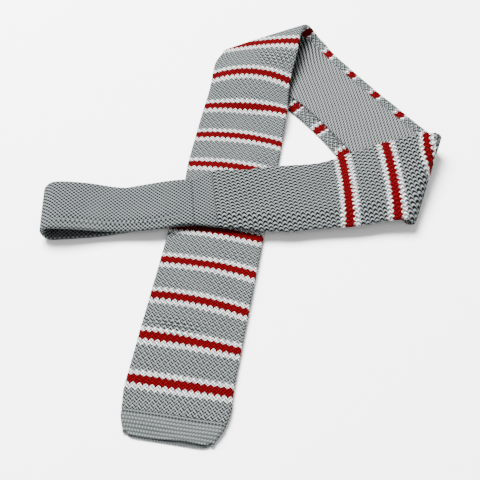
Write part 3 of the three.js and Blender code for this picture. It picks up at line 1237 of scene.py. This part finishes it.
    def tuck_height(self, graph: Graph, x: Socket, y: Socket, slack: Socket, girth: Socket,
                    along: Socket, uv: Socket) -> Socket:
        """Height of the tuck stitches: a centred lattice of arcs, each over a small hole.

        The lattice is cosine across times cosine along, bent up in the middle of each stitch.
        A second one of half the pitch adds the rings, and a slanted wave the plies. Slack
        cloth has deeper gaps between its rows.

        Args:
            graph: the material's graph.
            x, y: stitches counted across and rows counted along.
            slack: how open the cloth is.
            girth, along, uv: the cloth's coordinates in millimetres, and both as a vector.

        Returns:
            The height, about 0 to 1.
        """
        bent = graph.sub(y, graph.mul(graph.cosine(graph.mul(x, 2.0)), self.arch))
        lattice = graph.mul(graph.cosine(x), graph.cosine(bent))
        rings = graph.mul(graph.cosine(graph.mul(x, 2.0)), graph.cosine(graph.sub(graph.mul(y, 2.0), 0.2)))
        plies = graph.slanted(girth, along, self.ply_turns)
        gaps = graph.mul(graph.cosine(graph.mul(y, 2.0)), slack)
        patches = graph.mul(graph.noise(uv, scale=0.06, detail=1.0), self.lattice_patches)
        share = graph.add(patches, self.lattice, graph.mul(slack, self.lattice_slack))
        return graph.add(
            graph.mul(lattice, share), graph.mul(rings, self.rings), graph.mul(plies, self.plies),
            graph.mul(gaps, self.gaps), self.level,
        )

    def scale_height(self, graph: Graph, x: Socket, y: Socket, slack: Socket) -> Socket:
        """Height of the crossing run's stitches, like fish scales that point to the far edge.

        A centred lattice whose dots are bent into arrows, as each column's middle is pushed
        outwards.

        Args:
            graph: the material's graph.
            x, y: cells counted across and along.
            slack: how open the cloth is.

        Returns:
            The height, about 0 to 1.
        """
        pushed = graph.sub(x, graph.mul(graph.cosine(graph.mul(y, 2.0)), self.push))
        arrows = graph.mul(graph.cosine(pushed), graph.cosine(y))
        share = graph.add(graph.mul(slack, self.arrows_slack), self.arrows)
        return graph.add(self.scale_level, graph.mul(arrows, graph.mul(share, -1.0)))


@dataclass(frozen=True)
class JerseyKnit(Finish):
    """Fine grey jersey of slanted dots.

    Attributes:
        across_pitch, along_pitch: the lattice's cell in millimetres.
        slant: how much stronger one diagonal is than the other, 0 to 1.
        rib, rows: strengths of lengthwise ribs and crosswise rows of half the pitch.
        contrast: strength of the dots.
        yarn: its colours.
        holes: distance along of a row of small holes.
        hole_half, hole_soft: half length of a hole, and of its border.
        hole_pitch: distance between two holes.
        hole_depth: how strong they are.
        usual, varying: usual strength of the dots in a patch, and how much it varies.
        level: middle height.
    """

    across_pitch: float = 2.5
    along_pitch: float = 2.55
    slant: float = 0.25
    rib: float = 0.05
    rows: float = 0.0
    contrast: float = 0.42
    yarn: Yarn = GREY
    holes: float = 0.0
    hole_half: float = 0.45
    hole_soft: float = 0.25
    hole_pitch: float = 1.75
    hole_depth: float = 0.4
    usual: float = 0.95
    varying: float = 1.5
    level: float = 0.56
    fuzz: float = 0.22

    def material(self) -> bpy.types.Material:
        """The finish: two slanted waves that make a centred lattice, and a row of holes.

        The lattice is stronger in some patches than in others.

        Returns:
            The material.
        """
        graph = Graph(self.name)
        girth, along, uv = graph.map("cloth")
        x = graph.mul(girth, 1 / self.across_pitch)
        y = graph.mul(along, 1 / self.along_pitch)
        patches = graph.mul(graph.noise(uv, scale=0.035, detail=1.0), self.varying)
        patches = graph.add(patches, self.usual)
        weak = graph.mul(graph.cosine(graph.add(x, y)), -self.contrast * (1 - self.slant) / 2, patches)
        strong = graph.mul(graph.cosine(graph.sub(x, y)), -self.contrast * (1 + self.slant) / 2, patches)
        lengthwise = graph.mul(graph.cosine(graph.mul(x, 2.0)), self.rib)
        crosswise = graph.mul(graph.cosine(graph.mul(y, 2.0)), self.rows)
        ribs = graph.add(lengthwise, crosswise)
        fuzz = graph.mul(graph.noise(uv, scale=1.4, detail=2.0), self.fuzz)
        row = graph.within(graph.sub(along, self.holes), self.hole_half, self.hole_soft)
        hole = graph.step(graph.hill(graph.mul(girth, 1 / self.hole_pitch)), 0.35, 0.75)
        notch = graph.mul(row, hole, -self.hole_depth)
        height = self.clear(graph, graph.add(weak, strong, ribs, fuzz, notch, self.level))
        return self.close(graph, self.yarn.color(graph, height), height)


@dataclass(frozen=True)
class BraidKnit(Finish):
    """The lining's jersey: slanted columns of strands, like braids.

    Attributes:
        columns: turns of the columns' wave in a millimetre across and along.
        strands: the same of the strands' wave.
        roll, parting, parting_soft: distance along of the top roll, how far from it the columns part
        and the painted shade reaches, and how softly that ends.
        column_height, column_more: strength of the columns, and what it gains where they part.
        strand_height: strength of the strands.
        level, roll_shade: middle height, and what it loses where the columns part, a painted shade near
            the top roll.
    """

    columns: tuple[float, float] = (0.43, 0.21)
    strands: tuple[float, float] = (0.27, 0.63)
    roll: float = 306.0
    parting: float = 32.0
    parting_soft: float = 24.0
    column_height: float = 0.14
    column_more: float = 0.24
    strand_height: float = 0.2
    level: float = 0.52
    roll_shade: float = 0.12

    def material(self) -> bpy.types.Material:
        """The finish: a wave for the columns and one for the strands across them, and painted shade that
        lowers the middle height near the top roll.

        Returns:
            The material.
        """
        graph = Graph(self.name)
        girth, along, uv = graph.map("cloth")
        near_roll = graph.within(graph.sub(along, self.roll), self.parting, self.parting_soft)
        columns = graph.slanted(girth, along, self.columns)
        strands = graph.slanted(girth, along, self.strands)
        share = graph.add(graph.mul(near_roll, self.column_more), self.column_height)
        fuzz = graph.mul(graph.noise(uv, scale=1.2, detail=2.0), self.fuzz)
        # painted shade: the lining is darker near the top roll
        level = graph.sub(self.level, graph.mul(near_roll, self.roll_shade))
        total = graph.add(graph.mul(columns, share), graph.mul(strands, self.strand_height), fuzz, level)
        height = self.clear(graph, total)
        return self.close(graph, LINING_GREY.color(graph, height), height)


@dataclass(frozen=True)
class ThreadFinish(Finish):
    """Plain grey thread, with a twist of some turns in a millimetre round it."""

    depth: float = 0.0001
    twist: float = 2.2

    def material(self) -> bpy.types.Material:
        """The finish: a slanted wave along the thread.

        Returns:
            The material.
        """
        graph = Graph(self.name)
        around, along, _ = graph.map("cloth")
        wave = graph.cosine(graph.mul(graph.add(around, along), self.twist))
        height = graph.add(graph.mul(wave, 0.3), 0.6)
        return self.close(graph, GREY.color(graph, height), height)


@dataclass(frozen=True)
class Slack:
    """A place where the stitches are stretched open.

    Attributes:
        along, girth: its middle.
        length, width: its spreads.
        share: how open it is.
    """

    along: float
    girth: float
    length: float
    width: float
    share: float = 1.0


@dataclass
class Blade:
    """The striped shell and its lining.

    Attributes:
        builder: mesh maker.
        stripe_knots: distances along of counted stripes; the count runs evenly between them.
        skews: how far a stripe's right end lies behind its middle, by distance along.
        bows: how far both its ends lie behind its middle, by distance along.
        slacks: where the stitches are stretched open.
        turned_slack: how open they are on the turned edges.
        turned_from, turned_soft: girth at which that begins and the girth over which it grows.
        relief_height, slack_relief: height of the relief, and what slack adds to it.
        step, turned_step: spacing of the shell's points, and of those across its turned edges.
        lining_step, lining_across: spacing of the lining's rows, and of its points across.
        hem_gap: air between the hem tube and the shell.
        end_round, end_trim: length and depth of the rounding at the hem end.
        turned_gap: air between the shell's front wall and its turned edges.
        taper: length over which the shell thins to the neck band.
        column_height: height of the lining's columns.
        notch_depth, notch_reach, notch_soft: depth of the notches along its edges, how far they
            go in and how softly they end.
        lining_wider: millimetres by which the lining reaches further right on the back run.
        wider_from, wider_to, wider_soft: where it does, and how softly that starts and ends.
        stitch_pitch: distance between two threads, or two notches.
        stitch_start, stitch_end: distance of the first thread from the hem tube, and of the
            last one from the taper.
        stitch_inset, stitch_across: inset of a thread's first end, and how much nearer to the
            edge the other is.
        stitch_low, stitch_rise, stitch_dip: depth of its first end, how much higher the other
            is, and how much the middle dips.
        stitch_slant: how much further along the other end is.
        stitch_radius, stitch_points: radius of a thread, and points along it.
    """

    builder: ClothBuilder
    stripe_knots: tuple[tuple[float, float], ...] = (
        (0.0, -0.18), (31.0, 1.0), (85.0, 3.0), (135.0, 5.0), (242.0, 9.0), (296.0, 11.0),
        (494.8, 19.0), (523.6, 20.0), (603.0, 23.1),
    )
    skews: tuple[tuple[float, float], ...] = (
        (31.0, 0.0), (85.0, 1.7), (135.0, 0.8), (190.0, 0.0), (270.0, 0.0), (300.0, -0.8),
        (370.0, -1.7), (396.0, 0.0), (420.0, 1.7), (470.0, -1.5), (492.0, 3.2),
    )
    bows: tuple[tuple[float, float], ...] = (
        (31.0, 0.0), (85.0, 2.4), (135.0, 1.2), (215.0, 3.3), (270.0, 5.0), (296.0, 0.9),
        (440.0, 0.0), (470.0, 6.6), (492.0, -1.1),
    )
    slacks: tuple[Slack, ...] = (
        Slack(66.0, -10.0, 6.0, 18.0), Slack(118.0, 14.0, 6.0, 12.0, 0.5),
        Slack(282.0, 14.0, 8.0, 14.0), Slack(472.0, 0.0, 16.0, 60.0),
        Slack(530.0, -20.0, 60.0, 6.0, 0.7), Slack(200.0, 20.0, 12.0, 10.0, 0.4),
        Slack(588.0, 0.0, 26.0, 50.0, 0.9),
    )
    turned_slack: float = 0.7
    turned_from: float = 29.0
    turned_soft: float = 3.0
    relief_height: float = 0.08
    slack_relief: float = 0.14
    step: float = 0.8
    turned_step: float = 0.9
    lining_step: float = 0.9
    lining_across: float = 0.65
    hem_gap: float = 0.05
    end_round: float = 0.8
    end_trim: float = 0.08
    turned_gap: float = 0.4
    taper: float = 9.0
    column_height: float = 0.12
    notch_depth: float = 0.5
    notch_reach: float = 2.2
    notch_soft: float = 1.8
    lining_wider: float = 1.2
    wider_from: float = 300.0
    wider_to: float = 470.0
    wider_soft: float = 40.0
    stitch_pitch: float = 3.9
    stitch_start: float = 4.0
    stitch_end: float = 2.0
    stitch_inset: float = 8.1
    stitch_across: float = 2.0
    stitch_low: float = -1.75
    stitch_rise: float = 0.78
    stitch_dip: float = 0.25
    stitch_slant: float = 1.5
    stitch_radius: float = 0.22
    stitch_points: int = 6
    knit: StripedKnit = StripedKnit("striped_knit")
    lining: BraidKnit = BraidKnit("lining_jersey")

    def stripe_count(self, girth: Array, along: Array) -> Array:
        """Stripe coordinate: the count between knots, at the distance along plus skew and bow.

        Args:
            girth: millimetres of cloth from the middle of the front.
            along: distances from the hem end.

        Returns:
            The counts, whole at the middle of a stripe.
        """
        places = np.array([row[0] for row in self.stripe_knots])
        counts = np.array([row[1] for row in self.stripe_knots])
        side = np.clip(2 * girth / self.builder.strip.sizes.blade_width, -1.0, 1.0)
        behind = eased_table(self.skews, along) * side + eased_table(self.bows, along) * side**2
        return np.interp(along + behind, places, counts)

    def slack(self, girth: Array, along: Array) -> Array:
        """How open the stitches are, 0 to 1: the turned edges and the slack places' bells.

        Args:
            girth: millimetres of cloth from the middle of the front.
            along: distances from the hem end.

        Returns:
            The shares.
        """
        total = self.turned_slack * ease((np.abs(girth) - self.turned_from) / self.turned_soft)
        for place in self.slacks:
            away = ((along - place.along) / place.length) ** 2
            away = away + ((girth - place.girth) / place.width) ** 2
            total = total + place.share * np.exp(-away)
        return np.clip(total, 0.0, 1.0)

    def relief(self, girth: Array, along: Array) -> Array:
        """Relief of the stitches: a centred cosine lattice, higher where slack.

        On the crossing run it goes over to the lattice of that run's larger stitches.

        Args:
            girth: millimetres of cloth from the middle of the front.
            along: distances from the hem end.

        Returns:
            Heights in millimetres.
        """
        x = girth / self.knit.across_pitch
        y = self.stripe_count(girth, along) * self.knit.rows
        tuck = np.cos(TAU * x) * np.cos(TAU * y)
        cross = -np.cos(TAU * girth / self.knit.scale_across)
        cross = cross * np.cos(TAU * along / self.knit.scale_along)
        share = ease((along - self.knit.change) / self.knit.change_length)
        height = self.relief_height + self.slack_relief * self.slack(girth, along)
        return height * (tuck + (cross - tuck) * share)

    def rows(self, step: float) -> Rows:
        """Rows from the hem to the neck seam, thinning to the band at the seam.

        Args:
            step: spacing of the rows.

        Returns:
            The rows.
        """
        sizes = self.builder.strip.sizes
        start = sizes.hem_length + self.hem_gap
        along = np.linspace(start, sizes.shell_end, int((sizes.shell_end - start) / step) + 1)
        thin = sizes.band_thickness / sizes.thickness
        slim = 1 - (1 - thin) * ease((along - sizes.shell_end + self.taper) / self.taper)
        near = np.clip(1 - (along - start) / self.end_round, 0, 1)
        trim = self.end_trim * (1 - np.sqrt(1 - near**2))
        return Rows(along, trim, slim)

    def shell_section(self) -> Section:
        """Outline of the shell: front wall, round sides, turned edges, and the same inside.

        Returns:
            The closed outline.
        """
        sizes = self.builder.strip.sizes
        half = sizes.blade_width / 2
        front = sizes.thickness / 2
        back = front - 2 * sizes.shell_wall - self.turned_gap
        inside = back + sizes.shell_wall
        radius = (front - back) / 2
        turned = half - radius + math.pi * radius
        reach = turned + sizes.turning_width - radius
        count = int(2 * (half - radius) / self.step) + 1
        turning = int((sizes.turning_width - radius) / self.turned_step) + 1
        front_wall = flat_wall(-1, 1, radius, front, 1, count, half)
        right = [
            edge_round(1, radius, front, back, 6, half - radius),
            edge_flat(1, radius, sizes.turning_width, back, -1, turning, turned),
            edge_round(1, sizes.turning_width, back, inside, 2, reach, relief=0.0, outwards=-1),
            edge_flat(1, sizes.turning_width, radius, inside, 1, 3, reach, relief=0.0),
            edge_round(1, radius, inside, front - sizes.shell_wall, 1, turned, relief=0.0),
        ]
        inner = flat_wall(1, -1, radius, front - sizes.shell_wall, -1, 8, half, relief=0.0)
        left = [part.mirrored() for part in reversed(right)]
        return Section.join([front_wall, *right, inner, *left])

    def make_shell(self) -> bpy.types.Object:
        """The striped shell, from the hem to the neck seam.

        Returns:
            The piece.
        """
        sizes = self.builder.strip.sizes
        grid = self.builder.carry(
            self.shell_section(), self.rows(self.step), self.relief, nominal=sizes.blade_width,
        )
        pattern = [self.stripe_count(grid.girth, grid.along), self.slack(grid.girth, grid.along)]
        piece = self.builder.mesh("striped_shell", grid, np.stack(pattern, -1))
        piece.data.materials.append(self.knit.material())
        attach(piece, "root")
        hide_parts("blade_shell")
        return piece

    def lining_section(self) -> Section:
        """Outline of the lining panel: a thin flat band with round edges.

        Returns:
            The closed outline.
        """
        sizes = self.builder.strip.sizes
        back = -sizes.thickness / 2
        top = back + sizes.lining_wall
        half = sizes.blade_width / 2
        inset = sizes.lining_inset + sizes.lining_wall / 2
        count = int(2 * (half - inset) / self.lining_across) + 1
        side = edge_round(1, inset, top, back, 3, half - inset)
        inner = flat_wall(-1, 1, inset, top, 1, 10, half, relief=0.0)
        outer = flat_wall(1, -1, inset, back, -1, count, half)
        return Section.join([inner, side, outer, side.mirrored()])

    def lining_relief(self, girth: Array, along: Array) -> Array:
        """Rounded slanted columns, a cosine wave, with sunken notches along both edges.

        Args:
            girth: millimetres of cloth from the middle of the front.
            along: distances from the hem end.

        Returns:
            Heights in millimetres.
        """
        sizes = self.builder.strip.sizes
        turns = self.lining.columns[0] * girth + self.lining.columns[1] * along
        columns = self.column_height * np.cos(TAU * turns) - self.column_height
        border = sizes.blade_width / 2 - sizes.lining_inset - self.notch_reach
        edge = ease((np.abs(girth) - border) / self.notch_soft)
        notches = self.notch_depth * np.clip(np.cos(TAU * along / self.stitch_pitch), 0, 1) ** 2
        return columns - notches * edge

    def make_lining(self) -> bpy.types.Object:
        """The lining panel between the turned edges, a little wider to the right past the roll.

        Returns:
            The piece.
        """
        section = self.lining_section()
        rows = self.rows(self.lining_step)
        wider = self.lining_wider * ease((rows.along - self.wider_from) / self.wider_soft)
        wider = wider * ease((self.wider_to - rows.along) / self.wider_soft)
        grid = self.builder.carry(section, rows, self.lining_relief, wider=wider)
        piece = self.builder.mesh("lining_panel", grid)
        piece.data.materials.append(self.lining.material())
        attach(piece, "root")
        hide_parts("blade_lining")
        return piece

    def make_stitches(self) -> bpy.types.Object:
        """Short threads from the lining's edges to the turned edges, evenly spaced.

        Each starts low on the lining's round edge and ends on the turning, a little further
        along, with half a sine wave between. Its middle stands off both by the thread's radius.

        Returns:
            The piece, with all threads.
        """
        sizes = self.builder.strip.sizes
        first = sizes.hem_length + self.stitch_start
        last = sizes.blade_length - self.taper - self.stitch_end
        along = np.repeat(np.arange(first, last, self.stitch_pitch), 2)
        side = np.tile([-1.0, 1.0], len(along) // 2)
        share = np.linspace(0, 1, self.stitch_points)
        inset = self.stitch_inset - self.stitch_across * share
        dip = self.stitch_dip * np.sin(math.pi * share)
        depth = self.stitch_low + self.stitch_rise * share - dip
        length = along[:, None] + self.stitch_slant * share[None, :]
        width = self.builder.strip.width(length)
        across = side[:, None] * (1 - 2 * inset[None, :] / width)
        lines = self.builder.strip.place(length, across, depth[None, :] + 0 * length)
        piece = self.builder.strands("lining_stitches", lines, self.stitch_radius)
        piece.data.materials.append(ThreadFinish("thread").material())
        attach(piece, "root")
        return piece


@dataclass
class HemTube:
    """The flat open tube at the hem end.

    Attributes:
        builder: mesh maker.
        wall: wall thickness.
        corner: millimetres by which the open end's corners draw back.
        flatter: share of its thickness that the open end loses.
        flatter_length: length over which it does.
        lift, press: millimetres by which the front lip rises at the mouth and sinks beside it.
        short: millimetres by which the front wall is shorter than the back wall.
        short_least: share of that at the mouth's ends.
        mouth, mouth_width: share across of the mouth's middle, and its spread.
        step: spacing of its points.
        inner_step: spacing of its rows inside.
        depth_inside: how far the inside stops short of the seam.
        end_round, end_trim: length and depth of the rounding at the seam.
        dot_height: height of the fine dots.
        roll_height, roll_along, roll_length: the lip's rounded roll.
        lip_from, lip_soft: heights over which the front wall counts as lip.
        girth: millimetres round the whole tube; not used.
        knit: its finish.
    """

    builder: ClothBuilder
    wall: float = 1.3
    corner: float = 2.2
    flatter: float = 0.3
    flatter_length: float = 9.0
    lift: float = 0.75
    press: float = 0.5
    short: float = 1.9
    short_least: float = 0.35
    mouth: float = 0.4
    mouth_width: float = 0.48
    step: float = 0.6
    inner_step: float = 1.0
    depth_inside: float = 2.0
    end_round: float = 0.8
    end_trim: float = 0.08
    dot_height: float = 0.05
    roll_height: float = 0.15
    roll_along: float = 1.2
    roll_length: float = 1.0
    lip_from: float = 1.9
    lip_soft: float = 1.0
    girth: float = 98.0
    knit: JerseyKnit = JerseyKnit(
        "hem_knit", across_pitch=1.75, along_pitch=3.8, slant=0.0, contrast=0.2, rows=0.13,
        holes=12.9, hole_depth=0.4, yarn=SHADED_HEM_GREY,
    )

    def section(self) -> Section:
        """Closed outline of the tube.

        Returns:
            The outline.
        """
        sizes = self.builder.strip.sizes
        half = sizes.blade_width / 2
        radius = sizes.thickness / 2
        count = int(2 * (half - radius) / self.step) + 1
        side = edge_round(1, radius, radius, -radius, 9, half - radius)
        front = flat_wall(-1, 1, radius, radius, 1, count, half)
        back = flat_wall(1, -1, radius, -radius, -1, count, half)
        return Section.join([front, side, back, side.mirrored()])

    def opened(self, share: Array) -> Array:
        """How open the mouth is at shares across: a bell about a place right of the middle."""
        return np.exp(-(((np.clip(share, -0.95, 0.95) - self.mouth) / self.mouth_width) ** 2))

    def recede(self, share: Array, depth: Array, along: Array) -> Array:
        """The open end's corners draw back with a high power of the share, its front lip too.

        Args:
            share: places across, -1 to 1.
            depth: depths.
            along: distances from the hem end.

        Returns:
            Millimetres by which the points lie further along.
        """
        left = 1 - along / self.builder.strip.sizes.hem_length
        corner = self.corner * np.clip(np.abs(share) * 0.98, 0, 1) ** 12
        short = self.short * (self.short_least + (1 - self.short_least) * self.opened(share))
        return (corner + short * ease(depth / 2.0)) * left

    def relief(self, girth: Array, along: Array) -> Array:
        """Fine dots and a rounded roll at the lip, both sunk so that neither stands proud.

        Args:
            girth: millimetres of cloth from the middle of the front.
            along: distances from the hem end.

        Returns:
            Heights in millimetres.
        """
        dots = np.cos(TAU * girth / self.knit.across_pitch)
        dots = dots * np.cos(TAU * along / self.knit.along_pitch)
        roll = np.exp(-(((along - self.roll_along) / self.roll_length) ** 2))
        return self.dot_height * dots - self.dot_height + self.roll_height * roll - self.roll_height

    def rows(self) -> Rows:
        """Rows down the outside, round the lip and up inside.

        Returns:
            The rows.
        """
        sizes = self.builder.strip.sizes
        half = self.wall / 2
        outside = np.arange(sizes.hem_length, half, -self.step)
        near = np.clip(1 - (sizes.hem_length - outside) / self.end_round, 0, 1)
        close = self.end_trim * (1 - np.sqrt(1 - near**2))
        turn = np.linspace(0, math.pi, 9)
        inside = np.arange(half + self.inner_step, sizes.hem_length - self.depth_inside, self.inner_step)
        along = np.concatenate([outside, half - half * np.sin(turn), inside])
        trim = np.concatenate([close, half - half * np.cos(turn), 0 * inside + self.wall])
        return Rows(along, trim, 1 - self.flatter * ease(1 - along / self.flatter_length))

    def make(self) -> bpy.types.Object:
        """The tube, open at the hem end and closed inside at the seam.

        The whole end sinks on to the floor by half of the thickness that it loses, and the
        front wall's lip rises at the mouth.

        Returns:
            The piece.
        """
        sizes = self.builder.strip.sizes
        grid = self.builder.carry(self.section(), self.rows(), self.relief, self.recede)
        near = ease(1 - grid.along / self.flatter_length)
        lip = near * ease((grid.points[..., 2] - self.lip_from) / self.lip_soft)
        opened = self.opened(2 * grid.girth / sizes.blade_width)
        lift = self.lift * opened - self.press * (1 - opened)
        grid.points[..., 2] += lift * lip - near * self.flatter * sizes.thickness / 2
        piece = self.builder.mesh("hem_tube", grid)
        piece.data.materials.append(self.knit.material())
        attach(piece, "root")
        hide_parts("hem_band")
        return piece


@dataclass
class NeckTube:
    """The flat neck tube, from the neck seam round the loop to the hidden tail end.

    Attributes:
        builder: mesh maker.
        step: spacing of its points.
        ridge: girth of a pressed ridge near the lower edge.
        ridge_height, ridge_half: its height and half width.
        wander: how far it wanders.
        fade_in: distance past the seam where it starts, and the length over which it grows.
        fade_out, fade_gap: length over which it fades out, and how far before the loop that ends.
        groove_from, groove_depth, groove_half: the groove beside it.
        stitch_row: distance past the seam of a second row of stitches.
        row_depth, row_half: how deep and wide it lies.
        bend_half: half length of the bend at the loop.
        rib_height, rib_pitch: crosswise ribs round the bend.
        dot_height: height of the fine dots.
        back_relief: share of the relief that the back wall takes.
        end_round, end_trim: length and depth of the rounding at both ends.
        knit: its finish.
    """

    builder: ClothBuilder
    step: float = 0.7
    ridge: float = -12.4
    ridge_height: float = 1.0
    ridge_half: float = 1.1
    wander: float = 0.8
    fade_in: float = 20.0
    fade_out: float = 15.0
    fade_gap: float = 4.0
    groove_from: float = 2.2
    groove_depth: float = 0.75
    groove_half: float = 1.3
    stitch_row: float = 18.2
    row_depth: float = 0.12
    row_half: float = 0.6
    bend_half: float = 7.0
    rib_height: float = 0.16
    rib_pitch: float = 1.9
    dot_height: float = 0.09
    back_relief: float = 0.2
    end_round: float = 0.6
    end_trim: float = 0.25
    knit: JerseyKnit = JerseyKnit(
        "neck_jersey", slant=0.08, contrast=0.56, yarn=NECK_GREY, holes=616.2, hole_depth=0.35,
    )

    def section(self) -> Section:
        """Closed outline of the tube. Its girth runs on round the back.

        Returns:
            The outline.
        """
        sizes = self.builder.strip.sizes
        half = sizes.neck_width / 2
        radius = sizes.band_thickness / 2
        count = int(2 * (half - radius) / self.step) + 1
        side = edge_round(1, radius, radius, -radius, 6, half - radius)
        front = flat_wall(-1, 1, radius, radius, 1, count, half)
        back = flat_wall(1, -1, radius, -radius, -1, count, half, relief=self.back_relief)
        return Section.join([front, side, back, side.mirrored()])

    def relief(self, girth: Array, along: Array) -> Array:
        """Fine dots, a pressed ridge and groove, a sunken stitch row and ribs round the loop.

        Dots and ribs are cosine waves that only sink. The others are bells across or along,
        and the ridge and its groove fade out before the seam and the loop.

        Args:
            girth: millimetres of cloth from the middle of the front.
            along: distances from the hem end.

        Returns:
            Heights in millimetres.
        """
        sizes = self.builder.strip.sizes
        dots = np.cos(TAU * girth / self.knit.across_pitch)
        dots = dots * np.cos(TAU * along / self.knit.along_pitch)
        past = along - sizes.blade_length
        near = ease((past - self.fade_in) / self.fade_in)
        near = near * ease((sizes.neck_to_loop - self.fade_gap - past) / self.fade_out)
        off = girth - (self.ridge + self.wander * np.sin(past / 17.0))
        ridge = self.ridge_height * near * np.exp(-((off / self.ridge_half) ** 2))
        beside = (off - self.groove_from) / self.groove_half
        groove = -self.groove_depth * near * np.exp(-(beside**2))
        row = -self.row_depth * np.exp(-(((past - self.stitch_row) / self.row_half) ** 2))
        bend = np.exp(-(((past - sizes.neck_to_loop) / self.bend_half) ** 2))
        ribs = self.rib_height * bend * (np.cos(TAU * girth / self.rib_pitch) - 1)
        return -self.dot_height * (dots + 1) * (1 - 0.6 * bend) + ridge + groove + row + ribs

    def make(self) -> bpy.types.Object:
        """The tube, with rounded closed ends.

        Returns:
            The piece.
        """
        sizes = self.builder.strip.sizes
        along = np.linspace(sizes.shell_end, sizes.end, int((sizes.end - sizes.shell_end) / self.step) + 1)
        end = np.minimum(along - sizes.shell_end, sizes.end - along)
        near = np.clip(1 - end / self.end_round, 0, 1)
        trim = self.end_trim * (1 - np.sqrt(np.maximum(1 - near * near, 0)))
        rows = Rows(along, trim, 0 * along + 1)
        grid = self.builder.carry(self.section(), rows, self.relief, nominal=sizes.neck_width)
        piece = self.builder.mesh("neck_tube", grid)
        piece.data.materials.append(self.knit.material())
        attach(piece, "root")
        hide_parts("neck_band")
        return piece


@dataclass(frozen=True)
class Lamp:
    """A square area light that looks at the origin.

    Attributes:
        name: its name.
        place: where it stands, in metres.
        size: its side, in metres.
        power: in watts.
    """

    name: str
    place: tuple[float, float, float]
    size: float
    power: float

    def build(self) -> None:
        """Add it to the scene."""
        data = bpy.data.lights.new(self.name, "AREA")
        data.size = self.size
        data.energy = self.power
        lamp = bpy.data.objects.new(self.name, data)
        lamp.location = self.place
        lamp.rotation_euler = (-lamp.location).to_track_quat("-Z", "Y").to_euler()
        bpy.context.scene.collection.objects.link(lamp)


@dataclass
class Studio:
    """Floor, light and camera.

    Attributes:
        lens_px, frame_px, sensor: focal length and frame in pixels, and the sensor in millimetres.
        distance: from the camera to the point it looks at on the floor, in millimetres.
        depression: degrees that the camera looks down.
        turn: degrees that the tie is turned in the frame.
        shift: where the hem end lies from the frame's middle, in millimetres.
        hem: distance from the hem end to the origin, in millimetres.
        floor_half: half the floor's side, in metres.
        floor_color, floor_roughness: its finish.
        surroundings: strength of the even white surroundings.
        lamps: the lights.
    """

    lens_px: float = 883.0
    frame_px: float = 480.0
    sensor: float = 36.0
    distance: float = 518.1
    depression: float = 51.0
    turn: float = 9.6
    shift: tuple[float, float] = (-36.4, -129.9)
    hem: float = TieSizes.origin_from_hem
    floor_half: float = 6.0
    floor_color: tuple[float, float, float, float] = (0.93, 0.935, 0.93, 1.0)
    floor_roughness: float = 0.7
    surroundings: float = 0.5
    lamps: tuple[Lamp, ...] = (
        Lamp("key", (-0.6, 0.7, 1.6), 1.0, 240.0),
        Lamp("fill", (0.5, -1.3, 1.4), 1.8, 18.0),
    )

    def floor(self) -> None:
        """A wide pale floor."""
        mesh = bpy.data.meshes.new("floor")
        size = self.floor_half
        corners = [(-size, -size, 0), (size, -size, 0), (size, size, 0), (-size, size, 0)]
        mesh.from_pydata(corners, [], [(0, 1, 2, 3)])
        floor = bpy.data.objects.new("floor", mesh)
        bpy.context.scene.collection.objects.link(floor)
        graph = Graph("pale_floor")
        shader = graph.node(
            "ShaderNodeBsdfPrincipled",
            {"Base Color": self.floor_color, "Roughness": self.floor_roughness},
        )
        graph.node("ShaderNodeOutputMaterial", {"Surface": shader.outputs["BSDF"]})
        mesh.materials.append(graph.material)

    def world(self) -> None:
        """Even white surroundings."""
        world = bpy.data.worlds.new("studio")
        bpy.context.scene.world = world
        world.use_nodes = True
        background = world.node_tree.nodes["Background"]
        background.inputs["Color"].default_value = (1, 1, 1, 1)
        background.inputs["Strength"].default_value = self.surroundings

    def camera(self) -> None:
        """The camera at the photograph's place, worked out from its angle, distance and turn."""
        data = bpy.data.cameras.new("camera")
        data.sensor_width = self.sensor
        data.lens = self.lens_px / self.frame_px * data.sensor_width
        data.clip_end = 20
        down = math.radians(self.depression)
        turn = math.radians(self.turn)
        x = -self.shift[0]
        y = -self.distance * math.cos(down) - self.shift[1]
        camera = bpy.data.objects.new("camera", data)
        camera.location = (
            (x * math.cos(turn) - y * math.sin(turn)) * MM,
            (x * math.sin(turn) + y * math.cos(turn) - self.hem) * MM,
            self.distance * math.sin(down) * MM,
        )
        camera.rotation_euler = (math.pi / 2 - down, 0, turn)
        bpy.context.scene.collection.objects.link(camera)
        bpy.context.scene.camera = camera

    def build(self) -> None:
        """Everything that isn't the tie."""
        self.floor()
        self.world()
        for lamp in self.lamps:
            lamp.build()
        self.camera()


def main() -> None:
    """Build the pieces in order and report them."""
    logging.basicConfig(level=logging.INFO, format="%(name)s: %(message)s")
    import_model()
    Studio().build()
    builder = ClothBuilder(Strip(TieSizes()))
    blade = Blade(builder)
    pieces = [blade.make_shell(), blade.make_lining(), blade.make_stitches()]
    pieces += [HemTube(builder).make(), NeckTube(builder).make()]
    for piece in pieces:
        piece.data.calc_loop_triangles()
        LOG.info("%s: %d triangles", piece.name, len(piece.data.loop_triangles))


if __name__ == "__main__":
    main()
